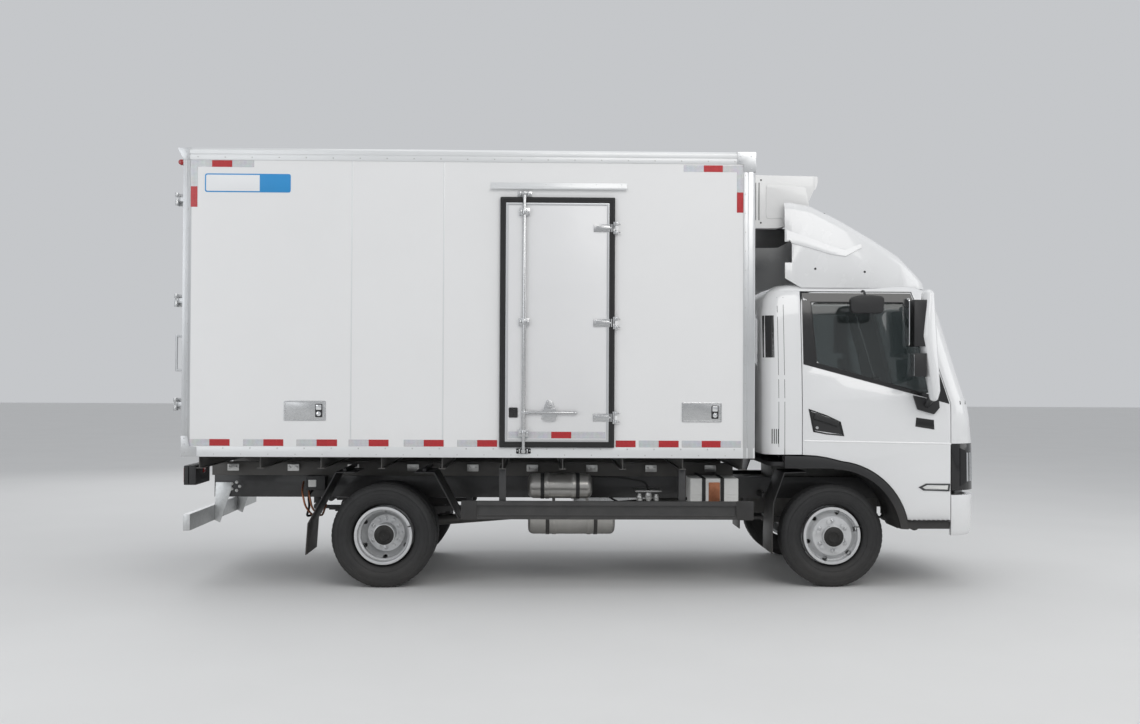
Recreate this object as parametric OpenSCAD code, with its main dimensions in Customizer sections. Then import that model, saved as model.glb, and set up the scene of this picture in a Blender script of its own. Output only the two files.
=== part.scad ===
// Light refrigerated truck: cab-over chassis cab with an insulated box body.
// Frame: +X forwards, +Y to the truck's left, +Z up. The origin is on the ground
// below the middle of the overall length.

/* [Overall] */
// Overall length, from the bumper to the rear door hardware
overall_length = 5995; // [5700:5:6600]
// Distance between the axles
wheelbase = 3360; // [3000:10:3700]
// Front bumper to front axle
front_overhang = 1130; // [1060:5:1250]

/* [Wheels] */
// Outside diameter of a tyre
tyre_diameter = 770; // [700:5:820]
// Width of one tyre
tyre_width = 200; // [170:5:210]
// Nominal rim diameter at the bead seat
rim_diameter = 406; // [360:1:430]
// Centre to centre of the front wheels
front_track = 1665; // [1560:5:1700]
// Centre to centre of the rear twin pairs
rear_track = 1525; // [1480:5:1560]
// Centre to centre of two twinned tyres
twin_spacing = 236; // [215:1:250]
// Bolt circle of the wheel studs
stud_pcd = 222.25; // [190:0.25:240]
// Largest steering angle each way
steer_angle = 35; // [20:1:35]

/* [Chassis] */
// Outside width of the ladder frame
frame_width = 720; // [660:10:780]
// Height of a frame rail
rail_height = 170; // [140:5:200]
// Flange width of a frame rail
rail_flange = 65; // [50:5:80]
// Plate thickness of the frame rails
rail_plate = 6; // [5:0.5:9]
// Height of the box body's long sills
sill_height = 106; // [90:2:130]
// Height of the cross bearers under the box floor
bearer_height = 91; // [70:1:110]

/* [Box body] */
// Outside length of the box
box_length = 4180; // [3700:10:4500]
// Outside width of the box
box_width = 2260; // [2100:10:2300]
// Outside height of the box
box_height = 2248; // [1800:4:2400]
// Thickness of the insulated walls, doors and roof
box_wall = 80; // [60:5:100]
// Thickness of the insulated floor
box_floor_depth = 90; // [75:5:110]
// Clearance between the cab and the box
cab_gap = 95; // [80:5:140]
// Width of the side door's flange
side_door_width = 834; // [700:2:1000]
// Height of the side door's flange
side_door_height = 1824; // [1500:4:1900]
// Flange of the side door beyond its plug
side_door_flange = 50; // [35:1:60]

/* [Cab] */
// Half of the cab's width at the doors
cab_half_width = 980; // [940:5:1000]
// Front axle back to the cab's rear wall
cab_rear = 530; // [480:5:560]
// Thickness of the cab's walls and doors
cab_wall = 45; // [35:1:55]
// Thickness of the glass
glass_thickness = 6; // [4:0.5:8]
// Radius of the wheel arch's opening
arch_radius = 505; // [490:1:520]
// Largest forward tilt of the cab
cab_tilt_angle = 45; // [30:1:50]

/* [Hidden] */
$fn = 48;

// Places along the truck
front_axle_x = overall_length / 2 - front_overhang;
rear_axle_x = front_axle_x - wheelbase;
axle_z = tyre_diameter / 2;
box_front_x = front_axle_x - cab_rear - cab_gap;
box_rear_x = box_front_x - box_length;

// Heights, all carried up from the axle centres
rail_top_z = axle_z + 399;
rail_bottom_z = rail_top_z - rail_height;
sill_top_z = rail_top_z + sill_height;
box_bottom_z = sill_top_z + bearer_height;
box_top_z = box_bottom_z + box_height;
load_floor_z = box_bottom_z + box_floor_depth;

// Sides
half_box = box_width / 2;
half_frame = frame_width / 2;
rail_front_x = front_axle_x + 900;
rail_rear_x = box_rear_x + 40;

// Running clearances
panel_gap = 6;       // between a closed cab door and the panels round it
door_gap = 8;        // between a closed box door and its frame
pin_gap = 0.5;       // round a pin in its bore
glass_gap = 0.4;     // round a pane in its rubber
seat_gap = 0.3;      // between a piece and the seat it is bolted or pressed to

// ---------------------------------------------------------------- helpers

function arc(cx, cy, r, from, to, steps) =
    [for (i = [0:steps]) let (a = from + (to - from) * i / steps) [cx + r * cos(a), cy + r * sin(a)]];

// A box from its low corner to its high corner
module block(low, high) {
    translate(low) cube(high - low);
}

// The same piece on both sides of the truck
module both_sides() {
    children();
    mirror([0, 1, 0]) children();
}

// An outline drawn in X and Z, made solid between two places in Y
module side_plate(y0, y1) {
    translate([0, max(y0, y1), 0]) rotate([90, 0, 0]) linear_extrude(abs(y1 - y0)) children();
}

// An outline drawn in Y and Z, made solid between two places in X
module cross_plate(x0, x1) {
    translate([x0, 0, 0]) rotate([90, 0, 90]) linear_extrude(x1 - x0) children();
}

module rod_y(x, z, r, y0, y1) {
    translate([x, min(y0, y1), z]) rotate([-90, 0, 0]) cylinder(r = r, h = abs(y1 - y0));
}

module rod_x(y, z, r, x0, x1) {
    translate([min(x0, x1), y, z]) rotate([0, 90, 0]) cylinder(r = r, h = abs(x1 - x0));
}

module rod_z(x, y, r, z0, z1) {
    translate([x, y, z0]) cylinder(r = r, h = z1 - z0);
}

// Works a shape out as one mesh, which suits lofted panels
module meshed() {
    resize([0, 0, 0]) children();
}

// ---------------------------------------------------------------- chassis

spring_y = half_frame - rail_flange / 2;   // springs hang under the rails
spring_width = 70;

module rail() {
    difference() {
        block([rail_rear_x, half_frame - rail_flange, rail_bottom_z], [rail_front_x, half_frame, rail_top_z]);
        block([rail_rear_x - 1, half_frame - rail_flange - 1, rail_bottom_z + rail_plate],
            [rail_front_x + 1, half_frame - rail_plate, rail_top_z - rail_plate]);
    }
}

hitch_spacing_y = 160;
hitch_spacing_z = 80;
hitch_hole_r = 8.5;

module crossmember(x, depth, z0, z1) {
    reach = half_frame - rail_plate - seat_gap;
    block([x, -reach, z0], [x + depth, reach, z1]);
}

tilt_x = front_axle_x + 960;
tilt_z = axle_z + 95;
tilt_pin_r = 25;
tilt_ear_y = half_frame + 30;
tilt_ear_thickness = 16;

tow_eye_x = tilt_x - 62;       // behind the bumper's sweep when the cab tilts
tow_eye_r = 20;
tow_eye_thickness = 30;
tow_eye_z = tilt_z - 122;      // low enough for its pin to pass under the bumper

// Plates bolted to the outside of the rails, with the pins of the cab and a tube between them
module cab_pivots() {
    plate = [half_frame + seat_gap, half_frame + seat_gap + 10];
    both_sides() {
        side_plate(plate[0], plate[1]) polygon([[rail_front_x - 160, rail_top_z],
            [rail_front_x, rail_top_z], [tilt_x + 45, tilt_z + 40], [tilt_x + 45, tilt_z - 40],
            [tilt_x - 60, tilt_z - 40], [rail_front_x - 160, rail_bottom_z]]);
        rod_y(tilt_x, tilt_z, tilt_pin_r, plate[0], tilt_ear_y + tilt_ear_thickness + 6);
    }
    rod_y(tilt_x, tilt_z, tilt_pin_r + 8, -half_frame, half_frame);
}

module tow_eye() {
    difference() {
        side_plate(-tow_eye_thickness / 2, tow_eye_thickness / 2) union() {
            translate([tow_eye_x, tow_eye_z]) circle(r = tow_eye_r + 22);
            hull() {
                translate([tow_eye_x, tow_eye_z]) circle(r = tow_eye_r + 16);
                translate([tilt_x - 34, tilt_z - tilt_pin_r - 38 - seat_gap]) square([44, 30]);
            }
        }
        rod_y(tow_eye_x, tow_eye_z, tow_eye_r, -tow_eye_thickness, tow_eye_thickness);
    }
}

module chassis_frame() color("#1c1d1f") {
    both_sides() rail();
    difference() {
        crossmember(rail_rear_x, 8, rail_bottom_z, rail_top_z);
        for (y = [-1, 1], z = [-1, 1])
            rod_x(y * hitch_spacing_y / 2, (rail_bottom_z + rail_top_z) / 2 + z * hitch_spacing_z / 2,
                hitch_hole_r, rail_rear_x - 5, rail_rear_x + 15);
    }
    for (x = [rear_axle_x - 700, rear_axle_x + 620, (box_front_x + rear_axle_x) / 2, box_front_x - 250])
        crossmember(x, 60, rail_top_z - 120, rail_top_z - 20);
    cab_pivots();
    tow_eye();
}

module i_beam(x) {
    low = sill_top_z + seat_gap;
    block([x - 25, -half_box + 40, low], [x + 25, half_box - 40, low + 6]);
    block([x - 3, -half_box + 40, low], [x + 3, half_box - 40, box_bottom_z]);
    block([x - 25, -half_box + 40, box_bottom_z - 6], [x + 25, half_box - 40, box_bottom_z]);
}

bearer_count = 10;
bearer_first_x = box_rear_x + 120;
bearer_last_x = box_front_x - 80;
function bearer_x(i) = bearer_first_x + i * (bearer_last_x - bearer_first_x) / (bearer_count - 1);

module subframe() color("#6f6e69") {
    both_sides() block([box_rear_x + 20, half_frame - 60, rail_top_z], [box_front_x - 40, half_frame, sill_top_z]);
    for (i = [0:bearer_count - 1]) i_beam(bearer_x(i));
}

// A leaf spring pack: shorter leaves towards the axle
module spring_pack(x, z_axle, half_length, leaves, hanger_z) {
    leaf = 11;
    top = z_axle + leaves * leaf;
    for (i = [0:leaves - 1]) let (half = half_length * (0.28 + 0.72 * (i + 1) / leaves))
        block([x - half, spring_y - spring_width / 2, z_axle + i * leaf],
            [x + half, spring_y + spring_width / 2, z_axle + (i + 1) * leaf]);
    for (s = [-1, 1]) {
        rod_y(x + s * half_length, top - leaf / 2, 26, spring_y - spring_width / 2, spring_y + spring_width / 2);
        block([x + s * half_length - 24, spring_y - spring_width / 2, top - leaf / 2 + 26 + seat_gap],
            [x + s * half_length + 24, spring_y + spring_width / 2, hanger_z]);
    }
}

front_beam_z = axle_z - 60;     // underside of the front axle beam
front_beam_height = 76;
rear_tube_r = 62;
saddle_z_front = front_beam_z + front_beam_height;
saddle_z_rear = axle_z + rear_tube_r;

module leaf_springs() color("#2a2a2c") {
    both_sides() {
        spring_pack(front_axle_x, saddle_z_front, 560, 6, rail_bottom_z);
        spring_pack(rear_axle_x, saddle_z_rear, 600, 9, rail_bottom_z);
    }
}

kingpin_y = front_track / 2 - 97;
kingpin_r = 18;
knuckle_half = 46;              // half height of the axle's eye
lug_height = 26;                // each knuckle lug above and below the eye

module front_axle() color("#2a2a2c") {
    side = kingpin_y;
    block([front_axle_x - 34, -spring_y - 60, front_beam_z], [front_axle_x + 34, spring_y + 60, saddle_z_front]);
    both_sides() {
        cross_plate(front_axle_x - 30, front_axle_x + 30) polygon([[spring_y + 50, front_beam_z],
            [spring_y + 110, front_beam_z], [side, axle_z - 30], [side, axle_z + 30],
            [spring_y + 90, saddle_z_front], [spring_y + 50, saddle_z_front]]);
        rod_z(front_axle_x, side, 40, axle_z - knuckle_half, axle_z + knuckle_half);
        rod_z(front_axle_x, side, kingpin_r, axle_z - knuckle_half - lug_height - 8,
            axle_z + knuckle_half + lug_height + 8);
    }
}

// Planes of the wheels
front_wheel_y = front_track / 2;
twin_outer_y = (rear_track + twin_spacing) / 2;
twin_inner_y = (rear_track - twin_spacing) / 2;
rim_half = 82;                  // half width over the rim flanges
disc_thickness = 12;
hub_r = 79;
spindle_r = 34;
front_disc_y = front_wheel_y + rim_half;
rear_disc_y = rear_track / 2;

module rear_axle() color("#232325") {
    rod_y(rear_axle_x, axle_z, rear_tube_r, -twin_inner_y + 60, twin_inner_y - 60);
    translate([rear_axle_x, 0, axle_z]) rotate([0, 90, 0]) cylinder(r = 165, h = 190, center = true);
    rod_x(0, axle_z, 62, rear_axle_x + 90, rear_axle_x + 230);
    both_sides() rod_y(rear_axle_x, axle_z, spindle_r, twin_inner_y - 61, rear_disc_y + 70);
}

engine_x = [front_axle_x - 330, front_axle_x + 520];
gearbox_x = [engine_x[0] - 420, engine_x[0]];

module drivetrain() color("#3b3b3d") {
    block([engine_x[0], -250, axle_z + 62], [engine_x[1], 250, axle_z + 490]);
    block([gearbox_x[0], -150, axle_z + 90], [gearbox_x[1] - seat_gap, 150, axle_z + 380]);
    hull() {
        translate([gearbox_x[0] - seat_gap, 0, axle_z + 190]) rotate([0, -90, 0]) cylinder(r = 42, h = 1, $fn = 24);
        translate([rear_axle_x + 231 + seat_gap, 0, axle_z]) rotate([0, -90, 0]) cylinder(r = 42, h = 1, $fn = 24);
    }
}

// A steel tank lying along X, held by two straps
module lying_tank(x0, x1, y, z, r, end) {
    translate([x0, y, z]) rotate([0, 90, 0]) rotate_extrude() polygon(concat([[0, 0]],
        arc(r - end, end, end, -90, 0, 5), arc(r - end, x1 - x0 - end, end, 0, 90, 5), [[0, x1 - x0]]));
    for (x = strap_places(x0, x1)) rod_x(y, z, r + 4, x - 15, x + 15);
}

function strap_places(x0, x1) = [x0 + (x1 - x0) * 0.3, x0 + (x1 - x0) * 0.7];

// Brackets from the frame rail's outer face to a tank's straps
module tank_brackets(x0, x1, side, y, z, r) {
    arm = [side * half_frame, side * (abs(y) - r - 4 - seat_gap)];
    plate = [side * half_frame, side * (half_frame + 10)];
    for (x = strap_places(x0, x1)) {
        block([x - 12, min(arm), z - 22], [x + 12, max(arm), z + 22]);
        block([x - 12, min(plate), min(z - 22, rail_bottom_z + 10)],
            [x + 12, max(plate), max(z + 22, rail_bottom_z + 60)]);
    }
}

tank_y = 700;
air_tank_x = [rear_axle_x + 1071, rear_axle_x + 1560];
low_tank_x = [rear_axle_x + 1072, rear_axle_x + 1733];

module air_tanks() color("#8d8a84") {
    lying_tank(air_tank_x[0], air_tank_x[1], -tank_y, rail_top_z - 47, 95, 45);
    tank_brackets(air_tank_x[0], air_tank_x[1], -1, -tank_y, rail_top_z - 47, 95);
    lying_tank(low_tank_x[0], low_tank_x[1], -tank_y, rail_bottom_z - 125, 118, 40);
    tank_brackets(low_tank_x[0], low_tank_x[1], -1, -tank_y, rail_bottom_z - 125, 118);
}

fuel_x = [rear_axle_x + 1450, rear_axle_x + 2150];
fuel_y = [450, 910];
fuel_z = [rail_bottom_z - 215, rail_top_z - 20];

module fuel_tank() color("#a9abae") {
    side_plate(fuel_y[0], fuel_y[1]) translate([fuel_x[0], fuel_z[0]])
        offset(r = 45, $fn = 40) offset(delta = -45) square([fuel_x[1] - fuel_x[0], fuel_z[1] - fuel_z[0]]);
    for (x = [fuel_x[0] + 130, fuel_x[1] - 170])
        block([x, half_frame, fuel_z[1] - 120], [x + 40, fuel_y[0] - seat_gap, fuel_z[1] - 30]);
}

battery_x = [rear_axle_x + 2297, rear_axle_x + 2663];

module battery_box() color("#d9d9d6") {
    block([battery_x[0], -850, rail_bottom_z - 60], [battery_x[1], -560, rail_top_z + 25]);
    block([battery_x[0] + 60, -560 + seat_gap, rail_bottom_z + 20], [battery_x[1] - 60, -half_frame, rail_bottom_z + 70]);
}

silencer_x = [box_front_x - 560, box_front_x - 60];

module silencer() color("#55524c") {
    lying_tank(silencer_x[0], silencer_x[1], 660, rail_bottom_z - 40, 125, 35);
    tank_brackets(silencer_x[0], silencer_x[1], 1, 660, rail_bottom_z - 40, 125);
}

guard_x = [rear_axle_x + 587, box_front_x];
guard_height = 134;
guard_z = axle_z + 138;
guard_y = half_box - 45;
guard_hangers = [bearer_x(5), bearer_x(8)];

module side_guards() color("#202123") both_sides() {
    difference() {
        block([guard_x[0], guard_y - 40, guard_z], [guard_x[1], guard_y, guard_z + guard_height]);
        block([guard_x[0] + 110, guard_y - 22, guard_z + 30], [guard_x[1] - 126, guard_y + 1, guard_z + guard_height - 34]);
    }
    for (x = guard_hangers)
        block([x - 25, guard_y - 90, guard_z + 20], [x + 25, guard_y - 40 - seat_gap, sill_top_z + seat_gap]);
}

mud_y = [rear_track / 2 - twin_spacing / 2 - tyre_width / 2, twin_outer_y + tyre_width / 2];

module bent_guard(points, thickness) {
    polygon(concat(points, [for (i = [len(points) - 1:-1:0]) points[i] + [0, thickness]]));
}

module rear_guard_pair() {
    translate([rear_axle_x, axle_z]) {
        polygon([[-347, 466], [-205, 466], [-205, 474], [-352, 474], [-557, 92], [-572, -140], [-564, -140], [-549, 90]]);
        polygon([[230, 474], [230, 466], [372, 466], [560, 122], [568, 127], [378, 474]]);
    }
}

mud_arm_z = axle_z + 474;         // top of the rear mudguards, where their arms lie

module mudguards() color("#1d1e20") both_sides() {
    side_plate(mud_y[0], mud_y[1]) rear_guard_pair();
    for (x = [-290, 300])
        block([rear_axle_x + x - 12, half_frame, mud_arm_z + seat_gap], [rear_axle_x + x + 12, mud_y[1] - 30, mud_arm_z + 24]);
    side_plate(cab_half_width - 400, cab_half_width - 30) translate([front_axle_x, axle_z])
        polygon([[-205, 484], [-370, 478], [-452, 250], [-462, 0], [-462, -130], [-454, -130], [-454, 0],
            [-444, 248], [-364, 470], [-205, 476]]);
    block([front_axle_x - 470, half_frame, axle_z + 250],
        [front_axle_x - 440, cab_half_width - 400 - seat_gap, axle_z + 290]);
}

underrun_half = 1050;
underrun_x = box_rear_x - 6;
underrun_z = [axle_z + 46, axle_z + 166];

module rear_underrun() color("#c9c9c6") {
    block([underrun_x, -underrun_half, underrun_z[0]], [underrun_x + 50, underrun_half, underrun_z[1]]);
    back = underrun_x + 50 + seat_gap;
    both_sides() side_plate(half_frame, half_frame + 10) polygon([
        [underrun_x + 56, rail_bottom_z + 115], [underrun_x + 180, rail_bottom_z + 115],
        [underrun_x + 180, rail_bottom_z + 60], [underrun_x + 92, underrun_z[0] - 20],
        [back, underrun_z[0]], [back, underrun_z[1]]]);
}

lamp_y = [700, 1070];
lamp_z = [axle_z + 386, axle_z + 520];

module tail_lamps() color("#7d1014") both_sides() {
    block([box_rear_x + 5, lamp_y[0], lamp_z[0]], [box_rear_x + 90, lamp_y[1], lamp_z[1]]);
    block([box_rear_x + 89, lamp_y[0] + 120, lamp_z[1] - 60], [bearer_first_x - 25, lamp_y[0] + 180, lamp_z[1] - 20]);
    block([bearer_first_x - 60, lamp_y[0] + 120, lamp_z[1] - 60], [bearer_first_x - 25, lamp_y[0] + 180, sill_top_z + 4]);
}

// ---------------------------------------------------------------- box body

side_rail_height = 87;
bottom_rail_height = 73;
rear_frame_depth = 60;
wall_x = [box_rear_x + rear_frame_depth, box_front_x - box_wall];
side_door_x1 = rear_axle_x + 1700;
side_door_x0 = side_door_x1 - side_door_width;
side_door_z0 = box_bottom_z + 77;
side_door_z1 = side_door_z0 + side_door_height;

module box_floor() color("#b9bcbf") {
    block([box_rear_x + rear_frame_depth, -half_box + box_wall, box_bottom_z],
        [box_front_x - box_wall, half_box - box_wall, load_floor_z]);
}

module long_wall() {
    block([wall_x[0], half_box - box_wall, box_bottom_z], [wall_x[1], half_box, box_top_z - box_wall]);
}

module box_wall_left() color("#f2f3f3") long_wall();

module side_opening(margin) {
    translate([side_door_x0 + side_door_flange - margin, -half_box - 50, side_door_z0 + side_door_flange - margin])
        cube([side_door_width - 2 * side_door_flange + 2 * margin, box_wall + 100,
            side_door_height - 2 * side_door_flange + 2 * margin]);
}

// The fixed half of the side door's hinges
module side_hinge_leaf(z) difference() {
    union() {
        block([side_hinge_x - 8, side_hinge_y, z - 16], [side_hinge_x + 12, -half_box + 1, z + 16]);
        block([side_hinge_x + 11, -half_box - 8, z - 45], [side_hinge_x + 36, -half_box + 1, z + 45]);
        rod_z(side_hinge_x, side_hinge_y, hinge_pin_r + 5, z - 16, z + 16);
    }
    rod_z(side_hinge_x, side_hinge_y, hinge_pin_r + pin_gap, z - 20, z + 20);
}

module box_wall_right() color("#f2f3f3") {
    difference() {
        mirror([0, 1, 0]) long_wall();
        side_opening(0);
    }
    for (z = side_hinge_heights) side_hinge_leaf(z);
}

module box_front_wall() color("#f2f3f3") {
    block([box_front_x - box_wall, -half_box, box_bottom_z], [box_front_x, half_box, box_top_z - box_wall]);
}

visor_depth = 40;

module box_roof() color("#f4f4f4") {
    cross_plate(box_rear_x + rear_frame_depth, box_front_x) polygon([[-half_box, box_top_z - box_wall],
        [half_box, box_top_z - box_wall], [half_box, box_top_z - 14], [half_box - 14, box_top_z],
        [-half_box + 14, box_top_z], [-half_box, box_top_z - 14]]);
}

post_width = box_wall;
header_height = 130;
door_sill_height = 96;
rear_door_z = [box_bottom_z + door_sill_height + door_gap, box_top_z - header_height - door_gap];
grab_z = [box_bottom_z + 626, box_bottom_z + 874];

module box_rear_frame() color("#c5c8ca") {
    inner = half_box - post_width;
    both_sides() block([box_rear_x, inner, box_bottom_z],
        [box_rear_x + rear_frame_depth, half_box, box_top_z - header_height - seat_gap]);
    block([box_rear_x, -inner + seat_gap, box_bottom_z],
        [box_rear_x + rear_frame_depth, inner - seat_gap, box_bottom_z + door_sill_height]);
    block([box_rear_x, -half_box, box_top_z - header_height], [box_rear_x + rear_frame_depth, half_box, box_top_z]);
    side_plate(-half_box, half_box) polygon([[box_rear_x + 1, box_top_z], [box_rear_x - visor_depth, box_top_z],
        [box_rear_x - visor_depth, box_top_z - 12], [box_rear_x + 1, box_top_z - 70]]);
    both_sides() for (z = hinge_heights) block([rear_hinge_x - 4, rear_hinge_y - 34, z - 16],
        [box_rear_x + 1, rear_hinge_y - 14, z + 16]);
    both_sides() for (z = hinge_heights) difference() {
        block([rear_hinge_x - 11, rear_hinge_y - 34, z - 16], [rear_hinge_x + 11, rear_hinge_y + 4, z + 16]);
        rod_z(rear_hinge_x, rear_hinge_y, hinge_pin_r + pin_gap, z - 20, z + 20);
    }
    grab_handle();
}

module grab_handle() {
    y = -half_box + 40;
    for (z = grab_z) rod_x(y, z, 9, -overall_length / 2 + 9, box_rear_x + 1);
    rod_z(-overall_length / 2 + 9, y, 9, grab_z[0] - 9, grab_z[1] + 9);
}

unit_half_width = 750;
unit_z = [box_bottom_z + 1739, box_bottom_z + 2147];
unit_depth = 565;

module unit_outline() {
    x = box_front_x;
    polygon([[x, unit_z[0]], [x, unit_z[1]], [x + unit_depth - 14, unit_z[1] - 8], [x + unit_depth, unit_z[1] - 26],
        [x + unit_depth - 32, unit_z[1] - 106], [x + unit_depth - 45, unit_z[1] - 112],
        [x + unit_depth - 105, unit_z[1] - 240], [x + unit_depth - 260, unit_z[0] + 16],
        [x + unit_depth - 330, unit_z[0]]]);
}

module refrigeration_unit() color("#f5f6f6") intersection() {
    side_plate(-unit_half_width, unit_half_width) unit_outline();
    linear_extrude(box_top_z + 100) offset(r = 60, $fn = 40) offset(delta = -60)
        translate([box_front_x - 200, -unit_half_width]) square([unit_depth + 200, 2 * unit_half_width]);
}

// ---------------------------------------------------------------- box doors

door_proud = 12;                 // the rear doors stand proud of their frame
rear_hinge_x = box_rear_x - 45;
rear_hinge_y = half_box + 8;
hinge_pin_r = 7;
hinge_heights = [for (z = [378, 1133, 1871]) box_bottom_z + z];
rear_leaf_taper = 14;

module rear_leaf() {
    x0 = box_rear_x - door_proud;
    x1 = x0 + box_wall;
    y0 = door_gap;
    y1 = half_box - post_width - door_gap;
    translate([0, 0, rear_door_z[0]]) linear_extrude(rear_door_z[1] - rear_door_z[0])
        polygon([[x0, y0], [x1, y0 + rear_leaf_taper], [x1, y1 - 4], [x0, y1]]);
}

module rear_door_left() color("#f2f3f3") rear_leaf();
module rear_door_right() color("#f2f3f3") mirror([0, 1, 0]) rear_leaf();

lock_bar_r = 13;
lock_bar_off = 20;               // bar centre from the door's face

module hinge_strap(x_face, z) {
    block([x_face - 7, half_box - post_width - 150, z - 28], [x_face, rear_hinge_y - 60, z + 28]);
    block([rear_hinge_x - 3, rear_hinge_y - 64, z + 18], [rear_hinge_x + 4, rear_hinge_y, z + 46]);
    block([rear_hinge_x - 3, rear_hinge_y - 64, z - 46], [rear_hinge_x + 4, rear_hinge_y, z - 18]);
    block([rear_hinge_x - 3, rear_hinge_y - 64, z - 46], [x_face, rear_hinge_y - 57, z + 46]);
    rod_z(rear_hinge_x, rear_hinge_y, hinge_pin_r + 5, z + 18, z + 46);
    rod_z(rear_hinge_x, rear_hinge_y, hinge_pin_r + 5, z - 46, z - 18);
    rod_z(rear_hinge_x, rear_hinge_y, hinge_pin_r, z - 47, z + 47);
}

rear_bar_y = 170;

module rear_hardware() {
    face = box_rear_x - door_proud;
    for (z = hinge_heights) hinge_strap(face, z);
    rod_z(face - lock_bar_off, rear_bar_y, lock_bar_r, rear_door_z[0] + 20, rear_door_z[1] - 20);
    for (z = [rear_door_z[0] + 90, (rear_door_z[0] + rear_door_z[1]) / 2, rear_door_z[1] - 90])
        block([face - lock_bar_off - 8, rear_bar_y - 38, z - 26], [face, rear_bar_y + 38, z + 26]);
    block([face - lock_bar_off - 6, rear_bar_y, rear_door_z[0] + 330],
        [face - lock_bar_off + 4, rear_bar_y + 330, rear_door_z[0] + 352]);
    block([face - lock_bar_off - 4, rear_bar_y + 230, rear_door_z[0] + 300], [face, rear_bar_y + 280, rear_door_z[0] + 390]);
}

module rear_hardware_left() color("#b4b6b8") rear_hardware();
module rear_hardware_right() color("#b4b6b8") mirror([0, 1, 0]) rear_hardware();

flange_gap = 5;
flange_thickness = 14;
side_face_y = -half_box - flange_gap - flange_thickness;
side_hinge_x = side_door_x1 + 14;
side_hinge_y = side_face_y - 12;
side_hinge_heights = [for (z = [293, 985, 1680]) box_bottom_z + z];

module side_door() color("#f0f1f1") {
    block([side_door_x0, side_face_y, side_door_z0], [side_door_x1, -half_box - flange_gap, side_door_z1]);
    x0 = side_door_x0 + side_door_flange + door_gap;
    x1 = side_door_x1 - side_door_flange - door_gap;
    translate([0, 0, side_door_z0 + side_door_flange + door_gap])
        linear_extrude(side_door_height - 2 * side_door_flange - 2 * door_gap)
        polygon([[x0, -half_box - flange_gap - 1], [x1, -half_box - flange_gap - 1],
            [x1, -half_box + box_wall], [x0 + 14, -half_box + box_wall], [x0, -half_box]]);
}

module side_strap(z) {
    y = side_face_y;
    block([side_hinge_x - 168, y - 7, z - 29], [side_hinge_x - 15, y, z + 29]);
    block([side_hinge_x - 24, y - 7, z + 18], [side_hinge_x - 14, y, z + 45]);
    block([side_hinge_x - 24, y - 7, z - 45], [side_hinge_x - 14, y, z - 18]);
    block([side_hinge_x - 24, side_hinge_y - 4, z + 18], [side_hinge_x, y, z + 45]);
    block([side_hinge_x - 24, side_hinge_y - 4, z - 45], [side_hinge_x, y, z - 18]);
    for (s = [18, -45]) rod_z(side_hinge_x, side_hinge_y, hinge_pin_r + 5, z + s, z + s + 27);
    rod_z(side_hinge_x, side_hinge_y, hinge_pin_r, z - 46, z + 46);
}

side_bar_x = rear_axle_x + 1040;

module side_door_hardware() color("#b4b6b8") {
    for (z = side_hinge_heights) side_strap(z);
    y = side_face_y;
    rod_z(side_bar_x, y - lock_bar_off, lock_bar_r, side_door_z0 - 44, side_door_z1 + 40);
    for (z = [side_door_z0 + 103, (side_door_z0 + side_door_z1) / 2, side_door_z1 - 107])
        block([side_bar_x - 38, y - lock_bar_off - 8, z - 26], [side_bar_x + 38, y, z + 26]);
    block([side_bar_x, y - lock_bar_off - 4, side_door_z0 + 240], [side_bar_x + 374, y - lock_bar_off + 6, side_door_z0 + 262]);
    block([side_bar_x + 145, y - lock_bar_off - 4, side_door_z0 + 194], [side_bar_x + 235, y, side_door_z0 + 286]);
}

// ---------------------------------------------------------------- cab

// Sections of the cab: height above the axle, front x, rear x, half width, front corner radius
cab_sections = [
    [13, 1098, -cab_rear, cab_half_width - 8, 200],
    [45, 1120, -cab_rear, cab_half_width - 2, 210],
    [315, 1130, -cab_rear, cab_half_width, 218],
    [700, 1126, -cab_rear, cab_half_width + 2, 225],
    [910, 1108, -cab_rear, cab_half_width + 2, 232],
    [1015, 1090, -cab_rear, cab_half_width, 238],
    [1190, 1038, -cab_rear, cab_half_width - 12, 246],
    [1390, 982, -cab_rear, cab_half_width - 34, 246],
    [1655, 905, -cab_rear + 4, cab_half_width - 64, 236],
    [1780, 858, -cab_rear + 22, cab_half_width - 82, 222],
    [1842, 818, -cab_rear + 56, cab_half_width - 98, 210],
    [1880, 768, -cab_rear + 104, cab_half_width - 130, 200],
    [1900, 690, -cab_rear + 170, cab_half_width - 190, 190],
    [1908, 570, -cab_rear + 260, cab_half_width - 290, 180]];
crown = 30;                       // the front stands this much further out in the middle
rear_corner = 110;

function pick(z, column) = lookup(z, [for (s = cab_sections) [s[0], s[column]]]);

function section_at(z) = [z, pick(z, 1), pick(z, 2), pick(z, 3), pick(z, 4)];

// How much of an inset is taken downwards, rising to all of it on the roof
function drop(z) = max(0, z - 1700) / 208;

// One section of the cab, inset from the outer skin
function cab_ring(s, inset) = let (
    front = s[1] - inset - crown, rear = s[2] + inset,
    half = s[3] - inset, r = s[4] - inset, q = rear_corner - inset / 2,
    flat = half - r,
    right = concat(arc(rear + q, -half + q, q, 180, 270, 5), arc(front - r, -flat, r, -90, 0, 8),
        [for (i = [1:5]) [front + crown * (1 - pow(1 - i / 5, 2)), -flat * (1 - i / 5)]]),
    left = [for (i = [len(right) - 2:-1:0]) [right[i][0], -right[i][1]]])
    [for (p = concat(right, left)) [p[0], p[1], s[0] - inset * drop(s[0])]];

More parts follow.
